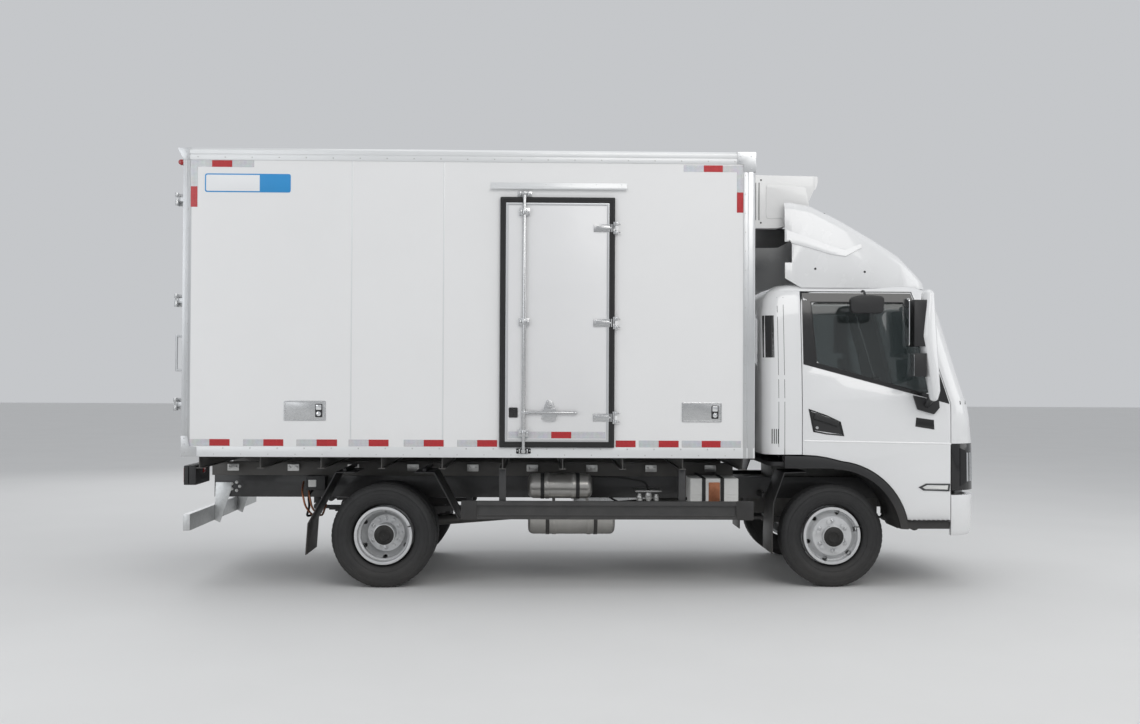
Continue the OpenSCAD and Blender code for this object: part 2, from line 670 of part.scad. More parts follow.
module loft(rings) {
    n = len(rings[0]);
    m = len(rings);
    polyhedron(points = [for (r = rings, p = r) p], faces = concat(
        [[for (i = [0:n - 1]) i]], [[for (i = [n - 1:-1:0]) (m - 1) * n + i]],
        [for (k = [0:m - 2], i = [0:n - 1]) let (j = (i + 1) % n)
            [k * n + i, (k + 1) * n + i, k * n + j]],
        [for (k = [0:m - 2], i = [0:n - 1]) let (j = (i + 1) % n)
            [k * n + j, (k + 1) * n + i, (k + 1) * n + j]]));
}

module cab_solid(inset, low = 13) {
    loft([for (s = concat([section_at(low)], [for (s = cab_sections) if (s[0] > low) s])) cab_ring(s, inset)]);
}

module at_front_axle() translate([front_axle_x, 0, axle_z]) children();

module cab_skin(thickness = cab_wall) difference() {
    cab_solid(0);
    translate([0, 0, -0.01]) cab_solid(thickness, 12);
}

door_x = [-237, 875];             // rear and front edges, from the front axle
door_top = 1836;
door_bottom = 125;
belt_front = 999;                 // height at which the front edge starts to lean back
door_skin_r = arch_radius + 65;
roof_line = 1843;
panel_foot = 350;                 // lower edge of the front panel
bumper_top = 315;

module door_outline() {
    rear = door_x[0];
    polygon(concat(arc(0, 0, door_skin_r, asin(door_bottom / door_skin_r), 84, 14),
        [[-60, door_skin_r + 26], [-141, door_skin_r + 38], [rear, door_skin_r + 43]],
        arc(rear + 90, door_top - 90, 90, 180, 90, 6),
        [[600, door_top], [790, 1265], [door_x[1], belt_front], [door_x[1], door_bottom]]));
}

module window_outline() {
    offset(r = 30, $fn = 32) offset(delta = -30)
        polygon([[-158, 1756], [-126, 1301], [732, 1064], [690, 1300], [655, 1440], [556, 1756]]);
}

module door_prism(side, grow = 0) {
    side_plate(side * 500, side * 1100) offset(delta = grow) door_outline();
}

module cab_door(side) at_front_axle() difference() {
    intersection() {
        meshed() cab_skin();
        door_prism(side);
    }
    side_plate(side * 500, side * 1100) window_outline();
}

module cab_door_right() color("#eeefef") cab_door(-1);
module cab_door_left() color("#eeefef") cab_door(1);

pane_inset = 16;

module pane_shell() difference() {
    cab_solid(pane_inset);
    cab_solid(pane_inset + glass_thickness, 12);
}

module door_glass(side) at_front_axle() intersection() {
    meshed() pane_shell();
    side_plate(side * 500, side * 1100) offset(delta = -glass_gap) window_outline();
}

module door_glass_right() color("#5d6466", 0.4) door_glass(-1);
module door_glass_left() color("#5d6466", 0.4) door_glass(1);

module windscreen_outline() {
    offset(r = 70, $fn = 40) offset(delta = -70) polygon([[-872, 1030], [872, 1030], [790, 1790], [-790, 1790]]);
}

module rear_window_outline() {
    offset(r = 50, $fn = 40) offset(delta = -50) polygon([[-560, 1330], [560, 1330], [560, 1660], [-560, 1660]]);
}

module cab_glass() color("#4a5052", 0.4) at_front_axle() {
    intersection() {
        meshed() pane_shell();
        cross_plate(400, 1200) offset(delta = -glass_gap) windscreen_outline();
    }
    intersection() {
        meshed() pane_shell();
        cross_plate(-600, -400) offset(delta = -glass_gap) rear_window_outline();
    }
}

module cab_rear_panel() color("#eeefef") at_front_axle() difference() {
    intersection() {
        meshed() cab_skin();
        block([-700, -1100, door_skin_r + 44], [door_x[0] - panel_gap, 1100, roof_line]);
    }
    cross_plate(-700, -400) rear_window_outline();
}

module cab_roof() color("#eeefef") at_front_axle() intersection() {
    meshed() cab_skin();
    block([-700, -1100, roof_line], [1200, 1100, 2000]);
}

lamp_band_top = 700;
lamp_split_y = 560;

module front_region(z0, z1) intersection() {
    side_plate(-1100, 1100) polygon([[door_x[1] + panel_gap, 0], [1300, 0], [1300, roof_line],
        [600 + panel_gap + 2, roof_line], [790 + panel_gap + 1, 1267], [door_x[1] + panel_gap, belt_front + 1]]);
    block([0, -1200, z0], [1400, 1200, z1]);
}

module lamp_corners(margin = 0) both_sides()
    block([door_x[1], lamp_split_y - margin, panel_foot - 1], [1300, 1100, lamp_band_top + margin]);

module cab_front_panel() color("#eeefef") at_front_axle() difference() {
    intersection() {
        meshed() cab_skin();
        front_region(panel_foot, roof_line);
    }
    lamp_corners(seat_gap);
    cross_plate(400, 1200) windscreen_outline();
}

module headlamps() color("#202326") at_front_axle() intersection() {
    meshed() cab_skin();
    front_region(panel_foot, lamp_band_top);
    lamp_corners();
}

bumper_grille = [[-520, 90], [520, 90], [560, 220], [-560, 220]];

module front_bumper() color("#eeefef") at_front_axle() {
    difference() {
        intersection() {
            meshed() cab_skin();
            block([door_x[1] + panel_gap, -1100, 13], [1300, 1100, bumper_top]);
        }
        cross_plate(900, 1300) offset(r = 25, $fn = 32) offset(delta = -25) polygon(bumper_grille);
    }
    both_sides() {
        block([1000, 640, bumper_top - 60], [1082, 700, bumper_top - 10]);
        intersection() {
            block([1000, 640, bumper_top - 60], [1100, 700, panel_foot + 60]);
            meshed() cab_solid(cab_wall + seat_gap);
        }
    }
}

floor_z = 526;                    // cab floor above the axle
arch_outer = arch_radius + 57;
arch_face = cab_half_width + 8;

module arch_outline(outer, inner) {
    difference() {
        polygon(concat(arc(0, 0, outer, 6, 84, 14), [[-60, outer + 26], [-141, outer + 38], [-372, outer + 42],
            [-372, inner + 6], [0, inner + 6], [inner, 61]]));
        polygon(concat(arc(0, 0, inner, -6, 90, 16), [[-400, inner], [-400, -60]]));
    }
}

module sill_outline() {
    polygon([[arch_radius * cos(8), 61], [door_x[1] - 2, 61], [door_x[1] - 2, door_bottom - 7], [arch_radius + 42, door_bottom - 7]]);
}

module cab_floor() color("#17181a") at_front_axle() {
    both_sides() {
        side_plate(cab_half_width - 95, arch_face) arch_outline(arch_outer, arch_radius);
        side_plate(560, cab_half_width - 94) arch_outline(arch_radius + 6, arch_radius);
        side_plate(620, arch_face - 20) sill_outline();
        side_plate(tilt_ear_y, tilt_ear_y + tilt_ear_thickness) difference() {
            union() {
                translate([tilt_x - front_axle_x, tilt_z - axle_z]) circle(r = tilt_pin_r + 24);
                translate([tilt_x - front_axle_x - 49, tilt_z - axle_z]) square([98, floor_z - tilt_z + axle_z + 1]);
            }
            translate([tilt_x - front_axle_x, tilt_z - axle_z]) circle(r = tilt_pin_r + pin_gap);
        }
    }
    intersection() {
        cab_floor_plate();
        meshed() cab_solid(cab_wall + 0.4);
    }
}

module cab_floor_plate() {
    block([-480, -940, floor_z], [1060, 940, floor_z + 30]);
    both_sides() block([500, 620, 61], [door_x[1] - 20, 640, floor_z + 1]);
}

// Sections of the roof fairing: x from the front axle, top height, half width
fairing_sections = [[-348, 2546, 866], [-297, 2546, 868], [-145, 2514, 872], [92, 2396, 872], [344, 2253, 862],
    [540, 2133, 842], [680, 1998, 806], [735, 1931, 772]];
fairing_wall = 14;
fairing_foot = 1871;

function fairing_ring(s, inset) = let (half = s[2] - inset, top = s[1] - inset,
    r = min(110, (s[1] - fairing_foot) * 0.7), foot = inset > 0 ? fairing_foot - 20 : fairing_foot,
    side = concat([[half, foot]], arc(half - r - 26, top - r, r, 15, 90, 7)))
    [for (p = concat(side, [[0, top + 18]], [for (i = [len(side) - 1:-1:0]) [-side[i][0], side[i][1]]]))
        [s[0] - inset, p[0], p[1]]];

module fairing_body(inset) {
    loft([for (s = fairing_sections) fairing_ring(s, inset)]);
}

module roof_fairing() color("#f1f2f2") at_front_axle() difference() {
    meshed() difference() {
        fairing_body(0);
        fairing_body(fairing_wall);
        cab_solid(-seat_gap);
    }
    block([-400, -795, 1800], [-28, 795, 2700]);
    side_plate(-1000, 1000) polygon([[-400, 2061], [-295, 2061], [-295, 2221], [-400, 2221]]);
    side_plate(-1000, 1000) polygon([[-400, 1800], [-228, 1871], [-348, 1943], [-400, 1990]]);
}

module seat(y, width) {
    block([-260, y - width / 2, floor_z + 30], [240, y + width / 2, floor_z + 330]);
    side_plate(y - width / 2, y + width / 2)
        polygon([[-260, floor_z + 329], [-120, floor_z + 329], [-300, floor_z + 960], [-400, floor_z + 950], [-330, floor_z + 329]]);
}

module seats() color("#3c3d40") at_front_axle() {
    seat(520, 560);
    seat(-330, 900);
}

wheel_centre = [560, 520, floor_z + 560];

module dashboard() color("#2b2c2e") at_front_axle() {
    intersection() {
        side_plate(-900, 900) polygon([[700, floor_z + 300], [960, floor_z + 300], [1010, floor_z + 480],
            [930, floor_z + 560], [760, floor_z + 560], [700, floor_z + 440]]);
        meshed() cab_solid(cab_wall + 4);
    }
    both_sides() block([880, 820, floor_z + 30], [940, 860, floor_z + 301]);
    translate(wheel_centre) rotate([0, -32, 0]) {
        rotate_extrude() translate([200, 0]) circle(r = 16, $fn = 24);
        rod_z(0, 0, 34, -300, 12);
        for (a = [90, 210, 330]) rotate([0, 0, a]) translate([0, -16, -7]) cube([200, 32, 14]);
    }
}

module mirror_pod(side, grow = 0) {
    hull() for (p = [[640, 1800, 42], [620, 1500, 50], [690, 1100, 36], [684, 1050, 30]])
        translate([p[0], side * 1180, p[1]]) scale([1, 1.9, 1]) sphere(r = p[2] + grow, $fn = 20);
}

module mirror_shell(side) at_front_axle() meshed() mirror_pod(side);

module wing_mirror(side) at_front_axle() difference() {
    union() {
        for (z = [[1420, 1760], [1200, 1370]])
            block([520, side > 0 ? 1100 : -1250, z[0]], [610, side > 0 ? 1250 : -1100, z[1]]);
        hull() {
            translate([690, side * 1150, 1060]) sphere(r = 28, $fn = 16);
            translate([690, side * (cab_half_width + 14), 990]) sphere(r = 24, $fn = 16);
        }
        side_plate(side * (cab_half_width - 20), side * (cab_half_width + 22))
            polygon([[590, 1060], [782, 1020], [786, 968], [745, 920], [622, 955]]);
    }
    meshed() cab_solid(-seat_gap);
    meshed() mirror_pod(side, seat_gap);
}

module mirror_right() color("#1b1c1e") wing_mirror(-1);
module mirror_left() color("#1b1c1e") wing_mirror(1);
module mirror_shell_right() color("#eeefef") mirror_shell(-1);
module mirror_shell_left() color("#eeefef") mirror_shell(1);

// ---------------------------------------------------------------- wheels

module knuckle(side) translate([front_axle_x, side * kingpin_y, axle_z]) {
    for (s = [-1, 1]) difference() {
        union() {
            translate([0, 0, s * (knuckle_half + 1 + lug_height / 2)]) cylinder(r = 36, h = lug_height - 2, center = true);
            translate([-30, side > 0 ? 0 : -72, s * (knuckle_half + 1 + lug_height / 2) - lug_height / 2 + 1])
                cube([60, 72, lug_height - 2]);
        }
        cylinder(r = kingpin_r + pin_gap, h = 400, center = true);
    }
    translate([-30, side > 0 ? 52 : -72, -knuckle_half - lug_height]) cube([60, 20, 2 * (knuckle_half + lug_height)]);
    reach = front_disc_y - kingpin_y;
    rotate([-side * 90, 0, 0]) translate([0, 0, 60]) cylinder(r = spindle_r, h = reach - 20);
}

module knuckle_right() color("#2a2a2c") knuckle(-1);
module knuckle_left() color("#2a2a2c") knuckle(1);

// Section of a tyre: radius against distance from its middle plane. It is open at the rim.
module tyre_section() {
    r = tyre_diameter / 2;
    bead = rim_diameter / 2 - 4 + seat_gap;
    w = tyre_width / 2;
    bead_y = rim_half - 12 - seat_gap;
    outside = concat([[bead, bead_y], [bead + 17, bead_y], [bead + 34, w * 0.88], [r - 96, w], [r - 40, w - 6],
        [r - 14, w - 14]], arc(r - 16, w - 30, 16, 60, 0, 3));
    inside = [[r - 26, w - 34], [r - 52, w - 20], [r - 98, w - 13], [bead + 34, w * 0.72], [bead + 12, bead_y - 22],
        [bead, bead_y - 26]];
    polygon(concat(outside, [for (i = [len(outside) - 1:-1:0]) [outside[i][0], -outside[i][1]]],
        [for (i = [len(inside) - 1:-1:0]) [inside[i][0], -inside[i][1]]], inside));
}

module tyre(y) {
    translate([0, y, 0]) rotate([90, 0, 0]) rotate_extrude($fn = 96) tyre_section();
}

vent_circle_r = 180;
vent_r = 18;

// A steel disc wheel about Z. Its disc is at z = offset, with the dish to the other side.
module steel_wheel(offset, hub_height) {
    seat = rim_diameter / 2;
    difference() {
        union() {
            rotate_extrude($fn = 96) polygon([[seat - 4, -rim_half + 12], [seat + 12, -rim_half + 12], [seat + 12, -rim_half],
                [seat - 8, -rim_half], [seat - 12, -rim_half + 20], [seat - 14, -40], [seat - 28, -28], [seat - 28, 28],
                [seat - 14, 40], [seat - 12, rim_half - 20], [seat - 8, rim_half], [seat + 12, rim_half],
                [seat + 12, rim_half - 12], [seat - 4, rim_half - 12], [seat - 4, 36], [seat - 19, 24],
                [seat - 19, -24], [seat - 4, -36]]);
            rotate_extrude($fn = 96) polygon([[60, offset - disc_thickness], [138, offset - disc_thickness],
                [160, offset - 44], [seat - 20, offset - 62], [seat - 12, offset - 62], [seat - 12, offset - 48],
                [170, offset - 34], [146, offset], [60, offset]]);
            translate([0, 0, offset - 40]) cylinder(r = hub_r, h = hub_height + 40);
            for (i = [0:5]) rotate([0, 0, 60 * i]) translate([stud_pcd / 2, 0, offset - 1]) cylinder(r = 15, h = 22);
        }
        for (i = [0:5]) rotate([0, 0, 60 * i + 30]) translate([vent_circle_r, 0, offset - 90]) cylinder(r = vent_r, h = 120);
        translate([0, 0, offset - 200]) cylinder(r = spindle_r + pin_gap, h = 250);
    }
}

module front_rim(side) translate([front_axle_x, side * front_wheel_y, axle_z]) rotate([-side * 90, 15, 0])
    steel_wheel(rim_half, 55);

module rear_rims(side) translate([rear_axle_x, 0, axle_z]) {
    translate([0, side * twin_outer_y, 0]) rotate([-side * 90, 0, 0]) mirror([0, 0, 1]) plain_wheel(twin_spacing / 2);
    translate([0, side * twin_inner_y, 0]) rotate([-side * 90, 0, 0]) plain_wheel(twin_spacing / 2);
    hub_y = rear_disc_y;
    difference() {
        rod_y(0, 0, hub_r, side * (hub_y - 90), side * (hub_y + 150));
        rod_y(0, 0, spindle_r + pin_gap, side * (hub_y - 100), side * (hub_y + 80));
    }
    for (i = [0:5]) rotate([0, 60 * i, 0]) rod_y(stud_pcd / 2, 0, 15, side * (hub_y + 10), side * (hub_y + 36));
}

// The same wheel with its hub left off, for twinning
module plain_wheel(offset) {
    seat = rim_diameter / 2;
    difference() {
        rotate_extrude($fn = 96) polygon([[seat - 4, -rim_half + 12], [seat + 12, -rim_half + 12], [seat + 12, -rim_half],
            [seat - 8, -rim_half], [seat - 12, -rim_half + 20], [seat - 14, -40], [seat - 28, -28], [seat - 28, 28],
            [seat - 14, 40], [seat - 30, 58], [150, offset - 34], [138, offset - disc_thickness], [60, offset - disc_thickness],
            [60, offset], [146, offset], [164, offset - 26], [seat - 16, 74], [seat - 8, rim_half], [seat + 12, rim_half],
            [seat + 12, rim_half - 12], [seat - 4, rim_half - 12], [seat - 4, 36], [seat - 19, 24],
            [seat - 19, -24], [seat - 4, -36]]);
        for (i = [0:5]) rotate([0, 0, 60 * i + 30]) translate([vent_circle_r - 4, 0, 0]) cylinder(r = vent_r, h = 200);
    }
}

module tyre_front_right() color("#1a1a1b") translate([front_axle_x, 0, axle_z]) tyre(-front_wheel_y);
module tyre_front_left() color("#1a1a1b") translate([front_axle_x, 0, axle_z]) tyre(front_wheel_y);
module rim_front_right() color("#c4c6c8") front_rim(-1);
module rim_front_left() color("#c4c6c8") front_rim(1);
module tyres_rear_right() color("#1a1a1b") translate([rear_axle_x, 0, axle_z]) {
    tyre(-twin_outer_y);
    tyre(-twin_inner_y);
}
module tyres_rear_left() color("#1a1a1b") translate([rear_axle_x, 0, axle_z]) {
    tyre(twin_outer_y);
    tyre(twin_inner_y);
}
module rims_rear_right() color("#c4c6c8") rear_rims(-1);
module rims_rear_left() color("#c4c6c8") rear_rims(1);

// ---------------------------------------------------------------- nodes

chassis_frame();
subframe();
leaf_springs();
front_axle();
rear_axle();
drivetrain();
fuel_tank();
air_tanks();
battery_box();
silencer();
side_guards();
mudguards();
rear_underrun();
tail_lamps();
box_floor();
box_wall_left();
box_wall_right();
box_front_wall();
box_roof();
box_rear_frame();
refrigeration_unit();
cab_floor();
cab_roof();
cab_rear_panel();
cab_front_panel();
cab_glass();
headlamps();
front_bumper();
roof_fairing();
seats();
dashboard();
cab_door_right();
cab_door_left();
door_glass_right();
door_glass_left();
mirror_right();
mirror_left();
mirror_shell_right();
mirror_shell_left();
side_door();
side_door_hardware();
rear_door_right();
rear_door_left();
rear_hardware_right();
rear_hardware_left();
knuckle_right();
knuckle_left();
tyre_front_right();
tyre_front_left();
rim_front_right();
rim_front_left();
tyres_rear_right();
tyres_rear_left();
rims_rear_right();
rims_rear_left();
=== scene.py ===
import bpy, bmesh, math
from mathutils import Matrix, Vector
from mathutils.bvhtree import BVHTree


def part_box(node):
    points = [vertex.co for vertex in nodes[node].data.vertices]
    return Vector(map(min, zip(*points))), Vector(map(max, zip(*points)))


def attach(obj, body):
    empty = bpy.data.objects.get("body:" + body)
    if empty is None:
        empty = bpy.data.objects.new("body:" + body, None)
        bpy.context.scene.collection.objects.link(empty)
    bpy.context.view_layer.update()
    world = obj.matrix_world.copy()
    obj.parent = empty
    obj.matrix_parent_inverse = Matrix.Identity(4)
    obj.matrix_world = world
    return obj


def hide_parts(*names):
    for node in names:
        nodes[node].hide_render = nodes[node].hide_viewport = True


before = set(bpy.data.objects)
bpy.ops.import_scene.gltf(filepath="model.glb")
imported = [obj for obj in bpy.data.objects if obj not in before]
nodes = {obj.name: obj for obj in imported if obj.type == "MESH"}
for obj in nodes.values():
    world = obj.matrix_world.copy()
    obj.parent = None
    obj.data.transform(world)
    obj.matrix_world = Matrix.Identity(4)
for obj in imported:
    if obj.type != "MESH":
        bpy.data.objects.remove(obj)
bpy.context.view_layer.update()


def mm(node):
    """A CAD node's box, in millimetres."""
    lo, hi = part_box(node)
    return [round(c * 1000, 2) for c in lo], [round(c * 1000, 2) for c in hi]


FLO, FHI = mm("tyre_front_right")
RLO, RHI = mm("tyres_rear_right")
FA = (FLO[0] + FHI[0]) / 2         # front axle, along X
RA = (RLO[0] + RHI[0]) / 2         # rear axle, along X
AZ = R_TYRE = FHI[2] / 2           # axle height and tyre radius
RFHI = mm("box_front_wall")[1]
ROHI = mm("box_roof")[1]
FRLO, FRHI = mm("box_floor")
BR = FRLO[0] - 60                  # box: rear face of the rear frame
BF = RFHI[0]                       # front face
BB = FRLO[2]                       # underside
BT = ROHI[2]                       # top
HB = ROHI[1]                       # half of the width
SDLO, SDHI = mm("side_door")
RDLO, RDHI = mm("rear_door_left")
ULO, UHI = mm("refrigeration_unit")


# ------------------------------------------------------------------ materials

def graph(name):
    m = bpy.data.materials.new(name)
    m.use_nodes = True
    t = m.node_tree
    b = t.nodes["Principled BSDF"]
    return m, t, b


def node(t, kind, **props):
    n = t.nodes.new(kind)
    for k, v in props.items():
        if k.startswith("in_"):
            key = k[3:]
            key = int(key) if key.isdigit() else key.replace("_", " ")
            n.inputs[key].default_value = v
        else:
            setattr(n, k, v)
    return n


def ramp(t, stops):
    r = t.nodes.new("ShaderNodeValToRGB")
    e = r.color_ramp.elements
    while len(e) < len(stops):
        e.new(0.5)
    for i, (p, c) in enumerate(stops):
        e[i].position = p
        e[i].color = (*c, 1) if len(c) == 3 else c
    return r


def bump(t, noise, distance):
    """A bump that the noise's height raises by distance, in metres."""
    bp = node(t, "ShaderNodeBump", in_Strength=1.0, in_Distance=distance)
    t.links.new(noise.outputs["Fac"], bp.inputs["Height"])
    return bp


def surface(name, colour, rough=0.5, metal=0.0, coat=0.0, vary=0.06, scale=3.0, grain=0.0, grain_scale=400.0,
            wave=0.0, wave_scale=3.0, grime=None, stretch=None, specks=0.0, rough_vary=0.12, spec=0.5):
    """Colour that varies a little, a grain or brushed bump, a slow wave, and dirt that gathers low down."""
    m, t, b = graph(name)
    link = t.links.new
    co = node(t, "ShaderNodeTexCoord")
    src = co.outputs["Object"]
    if stretch:
        mp = node(t, "ShaderNodeMapping")
        mp.inputs["Scale"].default_value = stretch
        link(src, mp.inputs["Vector"])
        fine_src = mp.outputs[0]
    else:
        fine_src = src
    n1 = node(t, "ShaderNodeTexNoise", in_Scale=scale, in_Detail=6.0, in_Roughness=0.6)
    link(src, n1.inputs["Vector"])
    dark = tuple(c * (1 - vary) for c in colour)
    light = tuple(min(1, c * (1 + vary * 0.6)) for c in colour)
    r1 = ramp(t, [(0.3, dark), (0.7, light)])
    link(n1.outputs["Fac"], r1.inputs["Fac"])
    col = r1.outputs["Color"]
    if specks:
        v = node(t, "ShaderNodeTexNoise", in_Scale=160.0, in_Detail=3.0)
        link(src, v.inputs["Vector"])
        rs = ramp(t, [(0.62, (0, 0, 0)), (0.72, (1, 1, 1))])
        link(v.outputs["Fac"], rs.inputs["Fac"])
        mx = node(t, "ShaderNodeMix", data_type="RGBA")
        mul = node(t, "ShaderNodeMath", operation="MULTIPLY")
        mul.inputs[1].default_value = specks
        link(rs.outputs["Color"], mul.inputs[0])
        link(mul.outputs[0], mx.inputs["Factor"])
        link(col, mx.inputs["A"])
        mx.inputs["B"].default_value = (*[min(1, c * 0.5 + 0.06) for c in colour], 1)
        col = mx.outputs["Result"]
    if grime:
        low, high, gcol, amount = grime
        sx = node(t, "ShaderNodeSeparateXYZ")
        link(src, sx.inputs[0])
        mr = node(t, "ShaderNodeMapRange")
        mr.inputs["From Min"].default_value = high
        mr.inputs["From Max"].default_value = low
        link(sx.outputs["Z"], mr.inputs["Value"])
        n2 = node(t, "ShaderNodeTexNoise", in_Scale=9.0, in_Detail=8.0, in_Roughness=0.7)
        link(src, n2.inputs["Vector"])
        m1 = node(t, "ShaderNodeMath", operation="MULTIPLY")
        link(mr.outputs["Result"], m1.inputs[0])
        link(n2.outputs["Fac"], m1.inputs[1])
        m2 = node(t, "ShaderNodeMath", operation="MULTIPLY", use_clamp=True)
        m2.inputs[1].default_value = amount * 1.6
        link(m1.outputs[0], m2.inputs[0])
        mx = node(t, "ShaderNodeMix", data_type="RGBA")
        link(m2.outputs[0], mx.inputs["Factor"])
        link(col, mx.inputs["A"])
        mx.inputs["B"].default_value = (*gcol, 1)
        col = mx.outputs["Result"]
    link(col, b.inputs["Base Color"])
    n3 = node(t, "ShaderNodeTexNoise", in_Scale=scale * 4, in_Detail=5.0)
    link(fine_src, n3.inputs["Vector"])
    roughness = node(t, "ShaderNodeMapRange")
    roughness.inputs["To Min"].default_value = max(0.02, rough * (1 - rough_vary))
    roughness.inputs["To Max"].default_value = min(1, rough * (1 + rough_vary))
    link(n3.outputs["Fac"], roughness.inputs["Value"])
    link(roughness.outputs["Result"], b.inputs["Roughness"])
    b.inputs["Metallic"].default_value = metal
    b.inputs["Coat Weight"].default_value = coat
    b.inputs["Coat Roughness"].default_value = 0.04
    b.inputs["Specular IOR Level"].default_value = spec
    normal = None
    if grain:
        n4 = node(t, "ShaderNodeTexNoise", in_Scale=grain_scale, in_Detail=3.0)
        link(fine_src, n4.inputs["Vector"])
        bp = bump(t, n4, grain)
        normal = bp.outputs[0]
    if wave:
        n5 = node(t, "ShaderNodeTexNoise", in_Scale=wave_scale, in_Detail=1.0)
        link(src, n5.inputs["Vector"])
        bp = bump(t, n5, wave)
        if normal:
            link(normal, bp.inputs["Normal"])
        normal = bp.outputs[0]
    if normal:
        link(normal, b.inputs["Normal"])
    return m


DUST = (0.20, 0.18, 0.155)
# grime is (height in metres where it is full, height where it ends, colour, amount)
white_panel = surface("white_panel", (0.80, 0.80, 0.80), rough=0.34, coat=0.15, vary=0.015, scale=1.2, wave=0.0015,
                      wave_scale=1.6, grain=0.00003, grain_scale=700, grime=(0.98, 1.25, (0.52, 0.50, 0.46), 0.10))
door_panel = surface("door_panel", (0.78, 0.78, 0.785), rough=0.36, coat=0.12, vary=0.02, scale=1.7, wave=0.0015,
                     wave_scale=2.4, grain=0.00004, grain_scale=600, grime=(1.05, 1.4, (0.50, 0.48, 0.44), 0.10))
cab_paint = surface("cab_paint", (0.78, 0.785, 0.79), rough=0.26, coat=0.9, vary=0.012, scale=1.5, grain=0.00002,
                    grain_scale=1500, rough_vary=0.08, grime=(0.40, 0.75, (0.46, 0.43, 0.38), 0.14))
fairing_paint = surface("fairing_paint", (0.77, 0.775, 0.78), rough=0.27, coat=0.8, vary=0.02, scale=2, wave=0.0012,
                        wave_scale=4, rough_vary=0.1)
unit_paint = surface("unit_paint", (0.79, 0.79, 0.785), rough=0.33, coat=0.4, vary=0.02, scale=3, wave=0.0008,
                     wave_scale=5)
alloy = surface("alloy", (0.62, 0.63, 0.64), rough=0.36, metal=0.85, vary=0.05, scale=4, grain=0.00006,
                grain_scale=60,
                stretch=(0.6, 40, 40), grime=(0.95, 1.3, (0.34, 0.32, 0.29), 0.25))
alloy_v = surface("alloy_v", (0.60, 0.61, 0.62), rough=0.38, metal=0.85, vary=0.05, scale=4, grain=0.00006,
                  grain_scale=60, stretch=(40, 40, 0.6), grime=(0.95, 1.3, (0.34, 0.32, 0.29), 0.25))
rail_white = surface("rail_white", (0.72, 0.73, 0.735), rough=0.33, metal=0.2, coat=0.2, vary=0.03, scale=3,
                     grain=0.00004, grain_scale=60, stretch=(0.6, 40, 40))
stainless = surface("stainless", (0.58, 0.585, 0.59), rough=0.27, metal=1.0, vary=0.06, scale=8, grain=0.00004,
                    grain_scale=120, stretch=(1, 1, 12), rough_vary=0.3)
chrome = surface("chrome", (0.80, 0.81, 0.82), rough=0.10, metal=1.0, vary=0.02, scale=10, rough_vary=0.4)
galvanised = surface("galvanised", (0.70, 0.715, 0.72), rough=0.40, metal=0.75, vary=0.12, scale=40, specks=0.35,
                     grain=0.0001, grain_scale=140, grime=(0.40, 0.75, DUST, 0.25))
frame_black = surface("frame_black", (0.028, 0.029, 0.031), rough=0.42, coat=0.15, vary=0.2, scale=9, specks=0.15,
                      grain=0.00015, grain_scale=160, grime=(0.30, 0.95, DUST, 0.20))
axle_black = surface("axle_black", (0.032, 0.032, 0.034), rough=0.52, vary=0.25, scale=14, specks=0.3, grain=0.0004,
                     grain_scale=120, grime=(0.15, 0.7, DUST, 0.35))
sill_grey = surface("sill_grey", (0.085, 0.083, 0.08), rough=0.5, vary=0.18, scale=7, specks=0.2, grain=0.0002,
                    grain_scale=150, grime=(0.7, 1.0, DUST, 0.22))
engine_metal = surface("engine_metal", (0.17, 0.17, 0.165), rough=0.5, metal=0.6, vary=0.25, scale=12, specks=0.4,
                       grain=0.0006, grain_scale=90, grime=(0.3, 0.9, DUST, 0.3))
tank_silver = surface("tank_silver", (0.46, 0.45, 0.43), rough=0.30, metal=0.75, vary=0.14, scale=8, specks=0.25,
                      grain=0.00008, grain_scale=200, grime=(0.35, 0.7, DUST, 0.25))
tank_alloy = surface("tank_alloy", (0.60, 0.61, 0.62), rough=0.28, metal=0.95, vary=0.07, scale=5, grain=0.00005,
                     grain_scale=80, stretch=(1, 20, 1), grime=(0.35, 0.7, DUST, 0.2))
heat_steel = surface("heat_steel", (0.33, 0.29, 0.25), rough=0.45, metal=0.85, vary=0.28, scale=7, specks=0.35,
                     grain=0.0002, grain_scale=90)
black_plastic = surface("black_plastic", (0.018, 0.018, 0.019), rough=0.46, vary=0.15, scale=12, grain=0.00022,
                        grain_scale=420, grime=(0.25, 0.75, DUST, 0.22))
gloss_black = surface("gloss_black", (0.006, 0.006, 0.0065), rough=0.16, coat=0.35, vary=0.1, scale=5, rough_vary=0.2)
rubber = surface("rubber", (0.014, 0.014, 0.0145), rough=0.62, vary=0.18, scale=18, grain=0.0002, grain_scale=300)
tyre_rubber = surface("tyre_rubber", (0.020, 0.020, 0.0205), rough=0.68, vary=0.22, scale=14, specks=0.12,
                      grain=0.0003,
                      grain_scale=260, grime=(-0.1, 0.35, (0.11, 0.10, 0.09), 0.30))
rim_silver = surface("rim_silver", (0.62, 0.625, 0.63), rough=0.30, metal=0.55, coat=0.35, vary=0.08, scale=12,
                     specks=0.10, grain=0.00008, grain_scale=220)
hub_dark = surface("hub_dark", (0.025, 0.024, 0.023), rough=0.5, metal=0.4, vary=0.3, scale=20, specks=0.4,
                   grain=0.0004,
                   grain_scale=120)
zinc = surface("zinc", (0.55, 0.55, 0.54), rough=0.33, metal=0.95, vary=0.12, scale=30, rough_vary=0.3)
copper = surface("copper", (0.42, 0.17, 0.09), rough=0.4, metal=0.7, vary=0.3, scale=20, specks=0.4)
load_floor = surface("load_floor", (0.55, 0.56, 0.57), rough=0.42, metal=0.9, vary=0.12, scale=6, specks=0.2,
                     grain=0.00012, grain_scale=60, stretch=(0.4, 30, 30))
